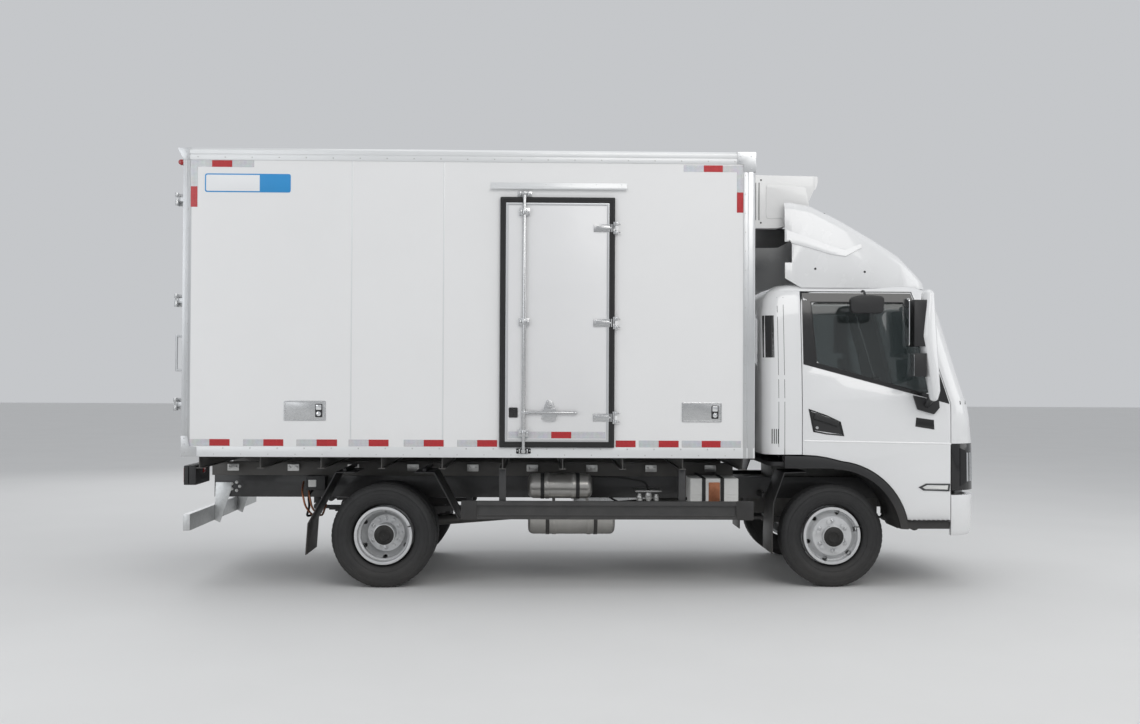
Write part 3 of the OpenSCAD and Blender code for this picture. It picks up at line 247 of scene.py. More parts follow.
seat_cloth = surface("seat_cloth", (0.055, 0.058, 0.066), rough=0.85, vary=0.2, scale=30, grain=0.0006,
                     grain_scale=500)
seat_trim = surface("seat_trim", (0.028, 0.029, 0.032), rough=0.6, vary=0.15, scale=20, grain=0.0003, grain_scale=350)
dash_grey = surface("dash_grey", (0.045, 0.046, 0.048), rough=0.6, vary=0.12, scale=15, grain=0.0004, grain_scale=380)
sign_white = surface("sign_white", (0.82, 0.83, 0.84), rough=0.3, vary=0.01, scale=3)
sign_blue = surface("sign_blue", (0.03, 0.28, 0.62), rough=0.32, vary=0.04, scale=3)
red_lens = surface("red_lens", (0.34, 0.008, 0.010), rough=0.12, coat=0.9, vary=0.15, scale=40)
amber_lens = surface("amber_lens", (0.75, 0.22, 0.02), rough=0.14, coat=0.9, vary=0.1, scale=40)
label_white = surface("label_white", (0.75, 0.75, 0.73), rough=0.5, vary=0.05, scale=20)
pink_fluid = surface("pink_fluid", (0.62, 0.16, 0.20), rough=0.25, coat=0.3, vary=0.15, scale=12)
bottle = surface("bottle", (0.62, 0.60, 0.56), rough=0.35, coat=0.2, vary=0.1, scale=12)
blue_cap = surface("blue_cap", (0.03, 0.12, 0.45), rough=0.4, vary=0.1, scale=20)


def tape(name, colour):
    """Retroreflective tape: a fine diamond grid of cells under a clear skin."""
    m, t, b = graph(name)
    link = t.links.new
    co = node(t, "ShaderNodeTexCoord")
    mp = node(t, "ShaderNodeMapping")
    mp.inputs["Rotation"].default_value = (0, math.radians(45), 0)
    link(co.outputs["Object"], mp.inputs["Vector"])
    ck = node(t, "ShaderNodeTexChecker", in_Scale=150.0)
    ck.inputs["Color1"].default_value = (*[min(1, c * 1.12 + 0.01) for c in colour], 1)
    ck.inputs["Color2"].default_value = (*[c * 0.80 for c in colour], 1)
    link(mp.outputs[0], ck.inputs["Vector"])
    ns = node(t, "ShaderNodeTexNoise", in_Scale=20.0, in_Detail=4.0)
    link(co.outputs["Object"], ns.inputs["Vector"])
    mx = node(t, "ShaderNodeMix", data_type="RGBA", blend_type="MULTIPLY")
    mx.inputs["Factor"].default_value = 0.25
    link(ck.outputs["Color"], mx.inputs["A"])
    link(ns.outputs["Color"], mx.inputs["B"])
    link(mx.outputs["Result"], b.inputs["Base Color"])
    bp = node(t, "ShaderNodeBump")
    bp.inputs["Distance"].default_value = 0.0002
    link(ck.outputs["Fac"], bp.inputs["Height"])
    link(bp.outputs[0], b.inputs["Normal"])
    b.inputs["Roughness"].default_value = 0.25
    b.inputs["Coat Weight"].default_value = 0.6
    b.inputs["Metallic"].default_value = 0.15
    return m


tape_red = tape("tape_red", (0.52, 0.012, 0.018))
tape_white = tape("tape_white", (0.66, 0.67, 0.69))


def glass_material(name, colour, rough=0.02):
    m, t, b = graph(name)
    link = t.links.new
    co = node(t, "ShaderNodeTexCoord")
    ns = node(t, "ShaderNodeTexNoise", in_Scale=6.0, in_Detail=4.0)
    link(co.outputs["Object"], ns.inputs["Vector"])
    mr = node(t, "ShaderNodeMapRange")
    mr.inputs["To Min"].default_value = rough
    mr.inputs["To Max"].default_value = rough + 0.03
    link(ns.outputs["Fac"], mr.inputs["Value"])
    link(mr.outputs["Result"], b.inputs["Roughness"])
    b.inputs["Base Color"].default_value = (*colour, 1)
    b.inputs["Transmission Weight"].default_value = 0.92
    b.inputs["IOR"].default_value = 1.5
    return m


cab_glass = glass_material("cab_glass_mat", (0.22, 0.25, 0.25))
lamp_glass = glass_material("lamp_glass", (0.85, 0.88, 0.9), 0.03)
mirror_face = surface("mirror_face", (0.85, 0.86, 0.87), rough=0.03, metal=1.0, vary=0.01, scale=5)


# ------------------------------------------------------------------ building helpers

def smooth_group(degrees):
    g = bpy.data.node_groups.new(f"smooth_{degrees}", "GeometryNodeTree")
    g.interface.new_socket("Geometry", in_out="INPUT", socket_type="NodeSocketGeometry")
    g.interface.new_socket("Geometry", in_out="OUTPUT", socket_type="NodeSocketGeometry")
    gi, go = g.nodes.new("NodeGroupInput"), g.nodes.new("NodeGroupOutput")
    angle = g.nodes.new("GeometryNodeInputMeshEdgeAngle")
    less = g.nodes.new("FunctionNodeCompare")
    less.operation = "LESS_THAN"
    less.inputs[1].default_value = math.radians(degrees)
    faces, edges = g.nodes.new("GeometryNodeSetShadeSmooth"), g.nodes.new("GeometryNodeSetShadeSmooth")
    faces.domain, edges.domain = "FACE", "EDGE"
    g.links.new(gi.outputs[0], faces.inputs["Geometry"])
    g.links.new(faces.outputs[0], edges.inputs["Geometry"])
    g.links.new(angle.outputs[0], less.inputs[0])
    g.links.new(less.outputs[0], edges.inputs["Shade Smooth"])
    g.links.new(edges.outputs[0], go.inputs[0])
    return g


SMOOTH = smooth_group(32)


def finish_shape(ob, bevel=0.0, segs=2, angle=32, weld=False):
    if weld:
        w = ob.modifiers.new("weld", "WELD")
        w.merge_threshold = 0.00002
    if bevel:
        b = ob.modifiers.new("bevel", "BEVEL")
        b.width = bevel / 1000
        b.segments = segs
        b.limit_method = "ANGLE"
        b.angle_limit = math.radians(angle + 8)
        b.use_clamp_overlap = True
    s = ob.modifiers.new("smooth", "NODES")
    s.node_group = SMOOTH


def dress(name, mat, bevel=0.0, segs=2):
    """A CAD node keeps its shape and place; it gets its material, softened edges and shading."""
    ob = nodes[name]
    ob.data.materials.clear()
    ob.data.materials.append(mat)
    for p in ob.data.polygons:
        p.material_index = 0
    if "custom_normal" in ob.data.attributes:
        ob.data.attributes.remove(ob.data.attributes["custom_normal"])
    finish_shape(ob, bevel, segs, weld=True)


# an outline's point and its distance along the axis, as a point in space
PLACE = {"x": lambda p, d: (d, p[0], p[1]), "y": lambda p, d: (p[0], d, p[1]), "z": lambda p, d: (p[0], p[1], d)}


def turned(pts, axis):
    """True where the outline runs the wrong way round for its axis."""
    area = sum(p[0] * q[1] - q[0] * p[1] for p, q in zip(pts, pts[1:] + pts[:1]))
    return (area > 0) != (axis != "y")


def axes(direction):
    """The unit direction and two unit vectors square to it."""
    a = Vector(direction).normalized()
    u = a.orthogonal().normalized()
    return a, u, a.cross(u)


def ring(c, u, w, r, n):
    """n points on the circle of radius r about c, in the plane of u and w."""
    return [c + (u * math.cos(2 * math.pi * i / n) + w * math.sin(2 * math.pi * i / n)) * r for i in range(n)]


def closed_faces(n):
    """Two ends and the sides between them, for two rings of n points."""
    return ([tuple(range(n))[::-1], tuple(range(n, 2 * n))]
            + [(i, (i + 1) % n, (i + 1) % n + n, i + n) for i in range(n)])


class Bits:
    """Collects shapes in millimetres, then makes one piece of them."""

    def __init__(self):
        self.v, self.f = [], []

    def add(self, verts, faces):
        n = len(self.v)
        self.v += [tuple(p) for p in verts]
        self.f += [tuple(i + n for i in f) for f in faces]
        return self

    def prism(self, pts, a, b, axis="y"):
        """An outline in the two other axes, made solid from a to b along axis."""
        k = PLACE[axis]
        if turned(pts, axis):
            pts = pts[::-1]
        lo, hi = min(a, b), max(a, b)
        return self.add([k(p, lo) for p in pts] + [k(p, hi) for p in pts], closed_faces(len(pts)))

    def rod(self, p, q, r, n=20):
        p, q = Vector(p), Vector(q)
        _, u, w = axes(q - p)
        return self.add(ring(p, u, w, r, n) + ring(q, u, w, r, n), closed_faces(n))

    def lathe(self, profile, centre, axis, n=48, closed=True):
        """profile is (radius, distance along axis) points; closed joins the last to the first."""
        a, u, w = axes(axis)
        c = Vector(centre)
        m = len(profile)
        v = []
        for i in range(n):
            t = 2 * math.pi * i / n
            d = u * math.cos(t) + w * math.sin(t)
            v += [c + d * r + a * h for r, h in profile]
        f = []
        for i in range(n):
            j = (i + 1) % n
            for k in range(m if closed else m - 1):
                l = (k + 1) % m
                f.append((i * m + k, i * m + l, j * m + l, j * m + k))
        return self.add(v, f)

    def dome(self, centre, axis, r, h, n=10, rings=3, base=0.0):
        """A low round head, such as a rivet, on a face."""
        prof = [(r, -base)] + [(r * math.cos(math.pi / 2 * i / rings),
                                h * math.sin(math.pi / 2 * i / rings)) for i in range(rings)]
        a, u, w = axes(axis)
        c = Vector(centre)
        v = []
        for r_, h_ in prof:
            v += [p + a * h_ for p in ring(c, u, w, r_, n)]
        v.append(c + a * h)
        m = len(prof)
        f = [tuple(range(n))[::-1]]
        for k in range(m - 1):
            f += [(k * n + i, k * n + (i + 1) % n, (k + 1) * n + (i + 1) % n, (k + 1) * n + i) for i in range(n)]
        f += [((m - 1) * n + i, (m - 1) * n + (i + 1) % n, m * n) for i in range(n)]
        return self.add(v, f)

    def hexnut(self, centre, axis, af, h, washer=True):
        c, a = Vector(centre), Vector(axis).normalized()
        if washer:
            self.rod(c, c + a * h * 0.18, af * 0.72, 18)
        self.rod(c + a * h * 0.18, c + a * h, af * 0.577, 6)
        self.rod(c + a * h, c + a * h * 1.35, af * 0.30, 12)
        return self

    def sweep(self, path, r, n=12):
        """A round tube through the points, with smoothed corners already in the path."""
        pts = [Vector(p) for p in path]
        v = []
        up = None
        for i, p in enumerate(pts):
            d = (pts[min(i + 1, len(pts) - 1)] - pts[max(i - 1, 0)]).normalized()
            u = d.orthogonal().normalized() if up is None else (up - d * up.dot(d)).normalized()
            up = u
            w = d.cross(u)
            v += ring(p, u, w, r, n)
        f = []
        for i in range(len(pts) - 1):
            f += [(i * n + k, i * n + (k + 1) % n, (i + 1) * n + (k + 1) % n, (i + 1) * n + k) for k in range(n)]
        f += [tuple(range(n))[::-1], tuple(range((len(pts) - 1) * n, len(pts) * n))]
        return self.add(v, f)

    def both(self):
        """Adds the same shapes on the other side."""
        n = len(self.v)
        v = [(x, -y, z) for x, y, z in self.v]
        f = [tuple(i + n for i in reversed(g)) for g in self.f]
        self.v += v
        self.f += f
        return self

    def out(self, name, mat, body, bevel=0.0, segs=2, angle=32):
        me = bpy.data.meshes.new(name)
        me.from_pydata([(x / 1000, y / 1000, z / 1000) for x, y, z in self.v], [], self.f)
        me.materials.append(mat)
        ob = bpy.data.objects.new(name, me)
        bpy.context.scene.collection.objects.link(ob)
        finish_shape(ob, bevel, segs, angle)
        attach(ob, body)
        return ob


CORNER = 0.48                      # the most of an edge that one rounded corner takes up


def rounded(points, r, steps=5):
    """A closed outline with each corner rounded."""
    out = []
    n = len(points)
    for i in range(n):
        p, a, b = (Vector(points[i]), Vector(points[i - 1]), Vector(points[(i + 1) % n]))
        radius = r[i] if isinstance(r, (list, tuple)) else r
        da, db = (a - p), (b - p)
        k = min(radius, da.length * CORNER, db.length * CORNER)
        s, e = p + da.normalized() * k, p + db.normalized() * k
        for j in range(steps + 1):
            t = j / steps
            out.append(tuple(s * (1 - t) ** 2 + p * 2 * t * (1 - t) + e * t ** 2))
    return out


def rect(x0, z0, x1, z1):
    return [(x0, z0), (x1, z0), (x1, z1), (x0, z1)]


def rr(x0, z0, x1, z1, r, steps=5):
    """A rectangle with rounded corners."""
    return rounded(rect(x0, z0, x1, z1), r, steps)


def bent(points, r, steps=6):
    """An open path in space with its inner corners rounded."""
    pts = [Vector(p) for p in points]
    out = [pts[0]]
    for i in range(1, len(pts) - 1):
        p, a, b = pts[i], pts[i - 1], pts[i + 1]
        da, db = a - p, b - p
        k = min(r, da.length * CORNER, db.length * CORNER)
        s, e = p + da.normalized() * k, p + db.normalized() * k
        out += [s * (1 - t) ** 2 + p * 2 * t * (1 - t) + e * t ** 2 for t in [j / steps for j in range(steps + 1)]]
    return out + [pts[-1]]


def ring_plate(b, outer, inner, a, c, axis="y"):
    """A flat frame between two outlines with the same number of points, from a to c along axis."""
    k = PLACE[axis]
    n = len(outer)
    if turned(outer, axis):
        outer, inner = outer[::-1], inner[::-1]
    lo, hi = min(a, c), max(a, c)
    v = [k(p, lo) for p in outer] + [k(p, lo) for p in inner] + [k(p, hi) for p in outer] + [k(p, hi) for p in inner]
    f = []
    for i in range(n):
        j = (i + 1) % n
        f += [(j, i, n + i, n + j), (2 * n + i, 2 * n + j, 3 * n + j, 3 * n + i), (i, j, 2 * n + j, 2 * n + i),
              (n + j, n + i, 3 * n + i, 3 * n + j)]
    return b.add(v, f)


# ------------------------------------------------------------------ CAD nodes: materials

for names, mat, bev in (
        (["chassis_frame"], frame_black, 1.5), (["subframe"], sill_grey, 2), (["leaf_springs"], axle_black, 1.5),
        (["front_axle", "rear_axle", "knuckle_right", "knuckle_left"], axle_black, 3), (["drivetrain"], engine_metal,
                                                            8),
        (["fuel_tank"], tank_alloy, 3), (["air_tanks"], tank_silver, 1.5), (["battery_box"], label_white, 6),
        (["silencer"], heat_steel, 2), (["side_guards"], frame_black, 4), (["mudguards"], black_plastic, 1),
        (["rear_underrun"], galvanised, 3), (["tail_lamps"], red_lens, 6), (["box_floor"], load_floor, 0),
        (["box_wall_left", "box_wall_right", "box_front_wall"], white_panel, 0), (["box_roof"], rail_white, 3),
        (["box_rear_frame"], alloy_v, 2), (["refrigeration_unit"], unit_paint, 14),
        (["cab_floor"], black_plastic, 2), (["cab_roof", "cab_rear_panel", "cab_front_panel", "front_bumper",
          "cab_door_right", "cab_door_left", "mirror_shell_right", "mirror_shell_left"], cab_paint, 2.5),
          (["cab_glass", "door_glass_right", "door_glass_left"], cab_glass, 0),
        (["headlamps"], gloss_black, 3), (["roof_fairing"], fairing_paint, 3), (["seats"], seat_cloth, 30),
        (["dashboard"], dash_grey, 6), (["mirror_right", "mirror_left"], black_plastic,
                                        6), (["side_door", "rear_door_right",
          "rear_door_left"], door_panel, 4), (["side_door_hardware", "rear_hardware_right", "rear_hardware_left"],
                                              stainless, 2),
        (["tyre_front_right", "tyre_front_left", "tyres_rear_right", "tyres_rear_left"], tyre_rubber, 0),
        (["rim_front_right", "rim_front_left", "rims_rear_right", "rims_rear_left"], rim_silver, 2)):
    for nm in names:
        dress(nm, mat, bev, 3 if bev >= 6 else 2)


# ------------------------------------------------------------------ shapes laid on the CAD skins

def skin(*names):
    verts, faces = [], []
    for nm in names:
        me = nodes[nm].data
        k = len(verts)
        verts += [v.co * 1000 for v in me.vertices]
        faces += [[i + k for i in p.vertices] for p in me.polygons]
    return BVHTree.FromPolygons(verts, faces)


CAB = skin("cab_door_right", "cab_front_panel", "cab_rear_panel", "cab_roof", "headlamps", "front_bumper",
           "cab_floor")
FAIR = skin("roof_fairing")


def from_side(tree):
    """Point and outward direction on the right side at (x, z)."""
    def hit(u, v):
        for d in (0, 5, -5, 9, -9, 14, -14, 22, -22):
            p, n, _, _ = tree.ray_cast(Vector((u + d, -3000, v)), Vector((0, 1, 0)))
            if p is not None and p.y < -400:
                n = n if n.y < 0 else -n
                return Vector((u, p.y, v)), n
        return Vector((u, -975, v)), Vector((0, -1, 0))
    return hit


def from_front(tree):
    """Point and outward direction on the front at (y, z)."""
    def hit(u, v):
        for d in (0, 5, -5, 10, -10, 18, -18):
            p, n, _, _ = tree.ray_cast(Vector((5000, u + d, v)), Vector((-1, 0, 0)))
            if p is not None and p.x > FA + 500:
                n = n if n.x > 0 else -n
                return Vector((p.x, u, v)), n
        return Vector((FA + 1000, u, v)), Vector((1, 0, 0))
    return hit


def from_round(tree, cx):
    """Point and outward direction at (angle in degrees about (cx, 0), z), for skins that turn the corner."""
    def hit(u, v):
        for d in (0, 0.3, -0.3, 0.6, -0.6, 1.2, -1.2):
            a = math.radians(u + d)
            o = Vector((math.cos(a), math.sin(a), 0))
            p, n, _, _ = tree.ray_cast(Vector((cx, 0, v)) + o * 3500, -o)
            if p is not None and (p - Vector((cx, 0, v))).length > 400:
                n = n if n.dot(o) > 0 else -n
                return p, n
        return Vector((cx, 0, v)) + Vector((math.cos(math.radians(u)), math.sin(math.radians(u)), 0)) * 900, o
    return hit


def lay(b, rows, hit, lift=1.5, sink=3.0, closed=False):
    """A skin laid on a surface. rows holds rows of (u, v) or (u, v, lift); closed joins each row's ends."""
    m, n = len(rows), len(rows[0])
    top, low = [], []
    for r in rows:
        for q in r:
            p, d = hit(q[0], q[1])
            top.append(p + d * (q[2] if len(q) > 2 else lift))
            low.append(p - d * sink)
    k = m * n
    f = []
    cols = n if closed else n - 1
    for i in range(m - 1):
        for j in range(cols):
            a, c, d2, e = i * n + j, i * n + (j + 1) % n, (i + 1) * n + (j + 1) % n, (i + 1) * n + j
            f += [(a, c, d2, e), (a + k, e + k, d2 + k, c + k)]
    for i, flip in ((0, False), (m - 1, True)):
        for j in range(cols):
            a, c = i * n + j, i * n + (j + 1) % n
            f.append((a, a + k, c + k, c) if not flip else (c, c + k, a + k, a))
    if not closed:
        for i in range(m - 1):
            a, c = i * n, (i + 1) * n
            f.append((c, c + k, a + k, a))
            a, c = i * n + n - 1, (i + 1) * n + n - 1
            f.append((a, a + k, c + k, c))
    s = len(b.v)
    b.add(top + low, f)
    a, c, d2 = top[0], top[1], top[n]
    p, d = hit(rows[0][0][0], rows[0][0][1])
    if (c - a).cross(d2 - a).dot(d) < 0:
        k0 = len(b.f) - len(f)
        b.f[k0:] = [tuple(reversed(g)) for g in b.f[k0:]]
    return b


def even(a, c, steps):
    return [tuple(x + (y - x) * t / steps for x, y in zip(a, c)) for t in range(steps + 1)]


def dense(outline, other, longest=70):
    """Both outlines with the same extra points, so that neither has a segment longer than longest."""
    o1, o2 = [], []
    n = len(outline)
    for i in range(n):
        a, c = outline[i], outline[(i + 1) % n]
        p, q = other[i], other[(i + 1) % n]
        s = max(1, math.ceil(max(math.dist(a, c), math.dist(p, q)) / longest))
        o1 += even(a, c, s)[:-1]
        o2 += even(p, q, s)[:-1]
    return o1, o2


def lay_ring(b, inner, outer, hit, rows=3, lift=1.5, sink=3.0, longest=70):
    i2, o2 = dense(inner, outer, longest)
    grid = [[tuple(p + (q - p) * t / rows for p, q in zip(a, c)) for a, c in zip(i2, o2)] for t in range(rows + 1)]
    return lay(b, grid, hit, lift, sink, True)


def lay_quad(b, c00, c10, c11, c01, hit, nu=8, nv=3, lift=1.5, sink=3.0):
    """A four-cornered patch; c00 to c10 runs along, c00 to c01 across."""
    rows = []
    for j in range(nv + 1):
        a = tuple(p + (q - p) * j / nv for p, q in zip(c00, c01))
        c = tuple(p + (q - p) * j / nv for p, q in zip(c10, c11))
        rows.append(even(a, c, nu))
    return lay(b, rows, hit, lift, sink)


side = from_side(CAB)
on_fairing = from_side(FAIR)


def F(x):
    return FA + x


def B(x):
    return RA + x


def on_cab(outline):
    """Distances ahead of the front axle, made places along X."""
    return [(F(x), z) for x, z in outline]


def on_side(s, p, n):
    """A point and direction of the right side, on side s: -1 right, 1 left."""
    return Vector((p.x, -s * p.y, p.z)), Vector((n.x, -s * n.y, n.z))


Y = -HB
DOOR_Y = -HB - 19                  # outer face of the side door

# ------------------------------------------------------------------ box body trim

b = Bits()
b.prism([(HB - 1, BT - 87), (HB + 5, BT - 87), (HB + 5, BT - 52), (HB + 3.2, BT - 50), (HB + 3.2, BT - 45),
         (HB + 6, BT - 43),
         (HB + 6, BT - 13), (HB - 7, BT + 1.5), (HB - 62, BT + 1.5), (HB - 62, BT - 1), (HB - 12, BT - 1), (HB - 1,
                                                            BT - 13)],
        BR + 1, BF + 1, "x")
b.prism([(HB - 1, BB + 73), (HB + 5, BB + 73), (HB + 5, BB - 2), (HB - 34, BB - 2), (HB - 34, BB - 0.6),
         (HB - 1, BB - 0.6)],
        BR + 2, BF + 1, "x").both()
b.out("box_rails", rail_white, "chassis", 1.2)

b = Bits()
b.prism([(BF - 85, HB - 1), (BF - 85, HB + 5.5), (BF - 60, HB + 5.5), (BF - 58, HB + 4), (BF - 52, HB + 4),
         (BF - 50, HB + 6.5),
         (BF - 16, HB + 6.5), (BF - 2, HB + 1), (BF + 4, HB - 12), (BF + 4, HB - 70), (BF + 0.5, HB - 70), (BF - 1,
                                                            HB - 1)],
        BB - 1, BT - 86, "z")
b.prism([(BR + 47, HB - 1), (BR + 47, HB + 5), (BR + 30, HB + 5), (BR + 28, HB + 3.6), (BR + 22, HB + 3.6),
         (BR + 20, HB + 5),
         (BR - 0.5, HB + 5), (BR - 0.5, HB - 1)], BB - 1, BT - 86, "z")
b.both().out("box_posts", alloy_v, "chassis", 1)

b = Bits()
b.prism([(BF - 133, BT + 2), (BF - 133, BT - 84), (BF - 88, BT - 88), (BF - 84, BT - 144), (BF + 6, BT - 144),
         (BF + 6, BT + 2)],
        HB + 6.5, HB + 9, "y")
b.prism([(HB - 120, BT + 2), (HB - 120, BT - 84), (HB - 84, BT - 88), (HB - 80, BT - 144), (HB + 7, BT - 144),
         (HB + 7, BT + 2)],
        BF + 4, BF + 6.5, "x")
b.prism([(BF - 133, HB + 7), (BF - 133, HB - 40), (BF - 60, HB - 110), (BF + 6, HB - 110), (BF + 6, HB + 7)], BT + 1,
        BT + 3.5, "z")
for x, z in ((BF - 112, BT - 30), (BF - 112, BT - 66), (BF - 30, BT - 30), (BF - 30, BT - 122), (BF - 62, BT - 112)):
    b.dome((x, HB + 9, z), (0, 1, 0), 5, 3, 12)
for z in (BT - 30, BT - 66):
    b.dome((BF + 6.5, HB - 100, z), (1, 0, 0), 5, 3, 12)
# rear ends of the visor and lower corner plates
b.prism([(BR - 38, BT - 1), (BR + 46, BT - 1), (BR + 46, BT - 86), (BR + 2, BT - 86), (BR - 38, BT - 14)], HB + 5,
        HB + 7.5, "y")
b.prism([(BR - 3, BB + 150), (BR + 46, BB + 150), (BR + 60, BB + 74), (BR + 110, BB + 70), (BR + 110, BB - 2),
         (BR - 3, BB - 2)],
        HB + 5.5, HB + 8, "y")
for x, z in ((BR + 22, BB + 130), (BR + 22, BB + 90), (BR + 22, BB + 30), (BR + 90, BB + 30), (BR + 22, BT - 30),
             (BR + 30, BT - 66)):
    b.dome((x, HB + 8, z), (0, 1, 0), 5, 3, 12)
b.both().out("box_corner_caps", alloy, "chassis", 1.5, 3)

b = Bits()
for i in range(21):
    x = B(-1340) + i * (BF - 150 - B(-1340)) / 20
    b.dome((x, HB + 5, BT - 67), (0, 1, 0), 5.2, 2.6, 10, 2)
    b.dome((x, HB + 5, BB + 62), (0, 1, 0), 5.2, 2.6, 10, 2)
    b.dome((x - 66, HB + 5, BB + 18), (0, 1, 0), 4.2, 2.2, 10, 2)
for i in range(15):
    z = BB + 130 + i * (BT - 300 - BB) / 14
    b.dome((BF - 70, HB + 5.5, z), (0, 1, 0), 4.6, 2.2, 10, 2)
    b.dome((BR + 38, HB + 5, z), (0, 1, 0), 4.6, 2.2, 10, 2)
    b.dome((BF + 4, HB - 55, z), (1, 0, 0), 4.6, 2.2, 10, 2)
b.both().out("box_rivets", zinc, "chassis")

# faint seams between the wall sheets, and the front wall's ribs
b = Bits()
for x in (B(-220), B(450)):
    b.prism(rr(x - 5, BB + 73, x + 5, BT - 87, 2, 2), HB - 0.5, HB + 0.7, "y")
b.both()
for y in (-760, -380, 0, 380, 760):
    b.prism(rect(y - 14, BB + 60, y + 14, ULO[2] - 30), BF - 0.5, BF + 1.6, "x")
b.out("box_seams", rail_white, "chassis", 0.6)

red, wht = Bits(), Bits()


def strip(bb, x0, x1, z0, z1, s=-1):
    bb.prism(rr(x0, z0, x1, z1, 2, 2), s * (HB - 0.4), s * (HB + 1.0), "y")


z0, z1 = BB + 77, BB + 126
for a, c in ((-1242, -1096), (-852, -707), (-466, -317), (-88, 57), (312, 458), (702, 848), (1715, 1861),
             (2030, 2177), (2346, 2486)):
    strip(red, B(a), B(c), z0, z1)
    if a != 1715:                  # the flap's end: no white length before it
        strip(wht, B(a - 146), B(a), z0, z1)
strip(wht, B(2486), B(2636), z0, z1)
for k in range(11):
    a = -1242 + 372 * k
    strip(red, B(a), B(a + 147), z0, z1, 1)
    strip(wht, B(a - 146), B(a), z0, z1, 1)
corner_tape = ((wht, -1392, -1239, 139, 90), (red, -1239, -1093, 139, 90), (wht, -1093, -934, 139, 90),
               (wht, -1392, -1343, 282, 139), (red, -1392, -1343, 432, 282), (wht, 2207, 2355, 146, 97),
               (red, 2355, 2496, 146, 97), (wht, 2496, 2600, 146, 97), (wht, 2600, 2648, 295, 97),
               (red, 2600, 2648, 444, 295))       # colour, ends from the rear axle, depths below the roof
for s in (-1, 1):
    for colour, x0, x1, low, high in corner_tape:
        strip(colour, B(x0), B(x1), BT - low, BT - high, s)
red.out("box_tape_red", tape_red, "chassis")
wht.out("box_tape_white", tape_white, "chassis")

# blank two-colour sign on each wall
for s, tag in ((-1, "right"), (1, "left")):
    xs = [B(-1290), B(-667)]
    Bits().prism(rr(xs[0], BT - 323, xs[1], BT - 187, 18), s * (HB - 0.4),
                 s * (HB + 1.0), "y").out("sign_blue_" + tag, sign_blue, "chassis", 0.3)
    Bits().prism(rr(xs[0] + 9, BT - 314, B(-893), BT - 196, [12, 1, 1, 12]),
                 s * HB, s * (HB + 1.5), "y").out("sign_white_" + tag, sign_white, "chassis", 0.2)

# service flaps with their latches
pl, lt, lk = Bits(), Bits(), Bits()
for x0, x1 in ((B(-706), B(-401)), (B(2199), B(2493))):
    pl.prism(rr(x0, 1242, x1, 1388, 9), Y - 3, Y + 0.5, "y")
    ring_plate(pl, rr(x0 + 3, 1245, x1 - 3, 1385, 8),
               rr(x0 + 11, 1253, x1 - 11, 1377, 5), Y - 4.4, Y - 2)
    for x, z in ((x0 + 7, 1249), (x1 - 7, 1249), (x0 + 7, 1381), (x1 - 7, 1381)):
        pl.dome((x, Y - 4.4, z), (0, -1, 0), 3.6, 1.8, 10, 2)
    lt.prism(rr(x1 - 76, 1268, x1 - 24, 1366, 8), Y - 6.5, Y - 2, "y")
    lk.prism(rr(x1 - 70, 1322, x1 - 30, 1360, 6), Y - 10, Y - 5, "y")
    lk.rod((x1 - 50, Y - 5, 1294), (x1 - 50, Y - 10.5, 1294), 17, 24)
    lk.rod((x1 - 50, Y - 10, 1294), (x1 - 50, Y - 12.5, 1294), 9, 20)
pl.out("service_flaps", stainless, "chassis", 1)
lt.out("service_flap_bezels", black_plastic, "chassis", 1.5)
lk.out("service_flap_latches", chrome, "chassis", 1.2)

# gutter over the side door
b = Bits().prism([(Y + 0.5, 2993), (Y - 4, 2993), (Y - 6, 2958), (Y - 27, 2947), (Y - 29, 2951), (Y - 31, 2949),
                  (Y - 28, 2942),
                  (Y - 4, 2951), (Y + 0.5, 2951)], B(791), B(1791), "x")
for i in range(6):
    b.dome((B(830) + i * 184, Y - 4.6, 2982), (0, -1, 0), 4.2, 2.2, 10, 2)
b.out("side_gutter", rail_white, "chassis", 0.8)

# ------------------------------------------------------------------ side door

dx0, dx1, dz0, dz1 = SDLO[0], SDHI[0], SDLO[2], SDHI[2]


def inside(d, r):
    """The side door's outline moved inwards by d, with corners of radius r."""
    return rr(dx0 + d, dz0 + d, dx1 - d, dz1 - d, r)


b = Bits()
ring_plate(b, inside(-3, 8), inside(40, 8), DOOR_Y - 5,
           Y - 1.5)
ring_plate(b, inside(9, 8), inside(17, 8), DOOR_Y - 7.5,
           DOOR_Y - 4)
ring_plate(b, inside(25, 8), inside(33, 8),
           DOOR_Y - 7.5, DOOR_Y - 4)
b.out("side_door_seal", rubber, "side_door", 1.5)
b = Bits()
ring_plate(b, inside(39, 5), inside(55, 4),
           DOOR_Y - 6, DOOR_Y + 0.5)
for i in range(13):
    z = dz0 + 90 + i * (dz1 - dz0 - 180) / 12
    for x in (dx0 + 47, dx1 - 47):
        b.dome((x, DOOR_Y - 6, z), (0, -1, 0), 3.2, 1.8, 8, 2)
b.out("side_door_edging", alloy_v, "side_door", 1)
Bits().prism(inside(56, 3), DOOR_Y - 2.5, DOOR_Y + 0.5, "y").out("side_door_sheet",
                                                            door_panel, "side_door", 0.8)
b = Bits()
b.prism(rr(B(1242), dz0 + 64, B(1389), dz0 + 112, 2, 2), DOOR_Y - 3.4, DOOR_Y - 2, "y")
b.out("side_door_tape_red", tape_red, "side_door")
b = Bits()
for a, c in ((930, 1240), (1391, 1638)):
    b.prism(rr(B(a), dz0 + 64, B(c), dz0 + 112, 2, 2), DOOR_Y - 3.4, DOOR_Y - 2, "y")
b.out("side_door_tape_white", tape_white, "side_door")

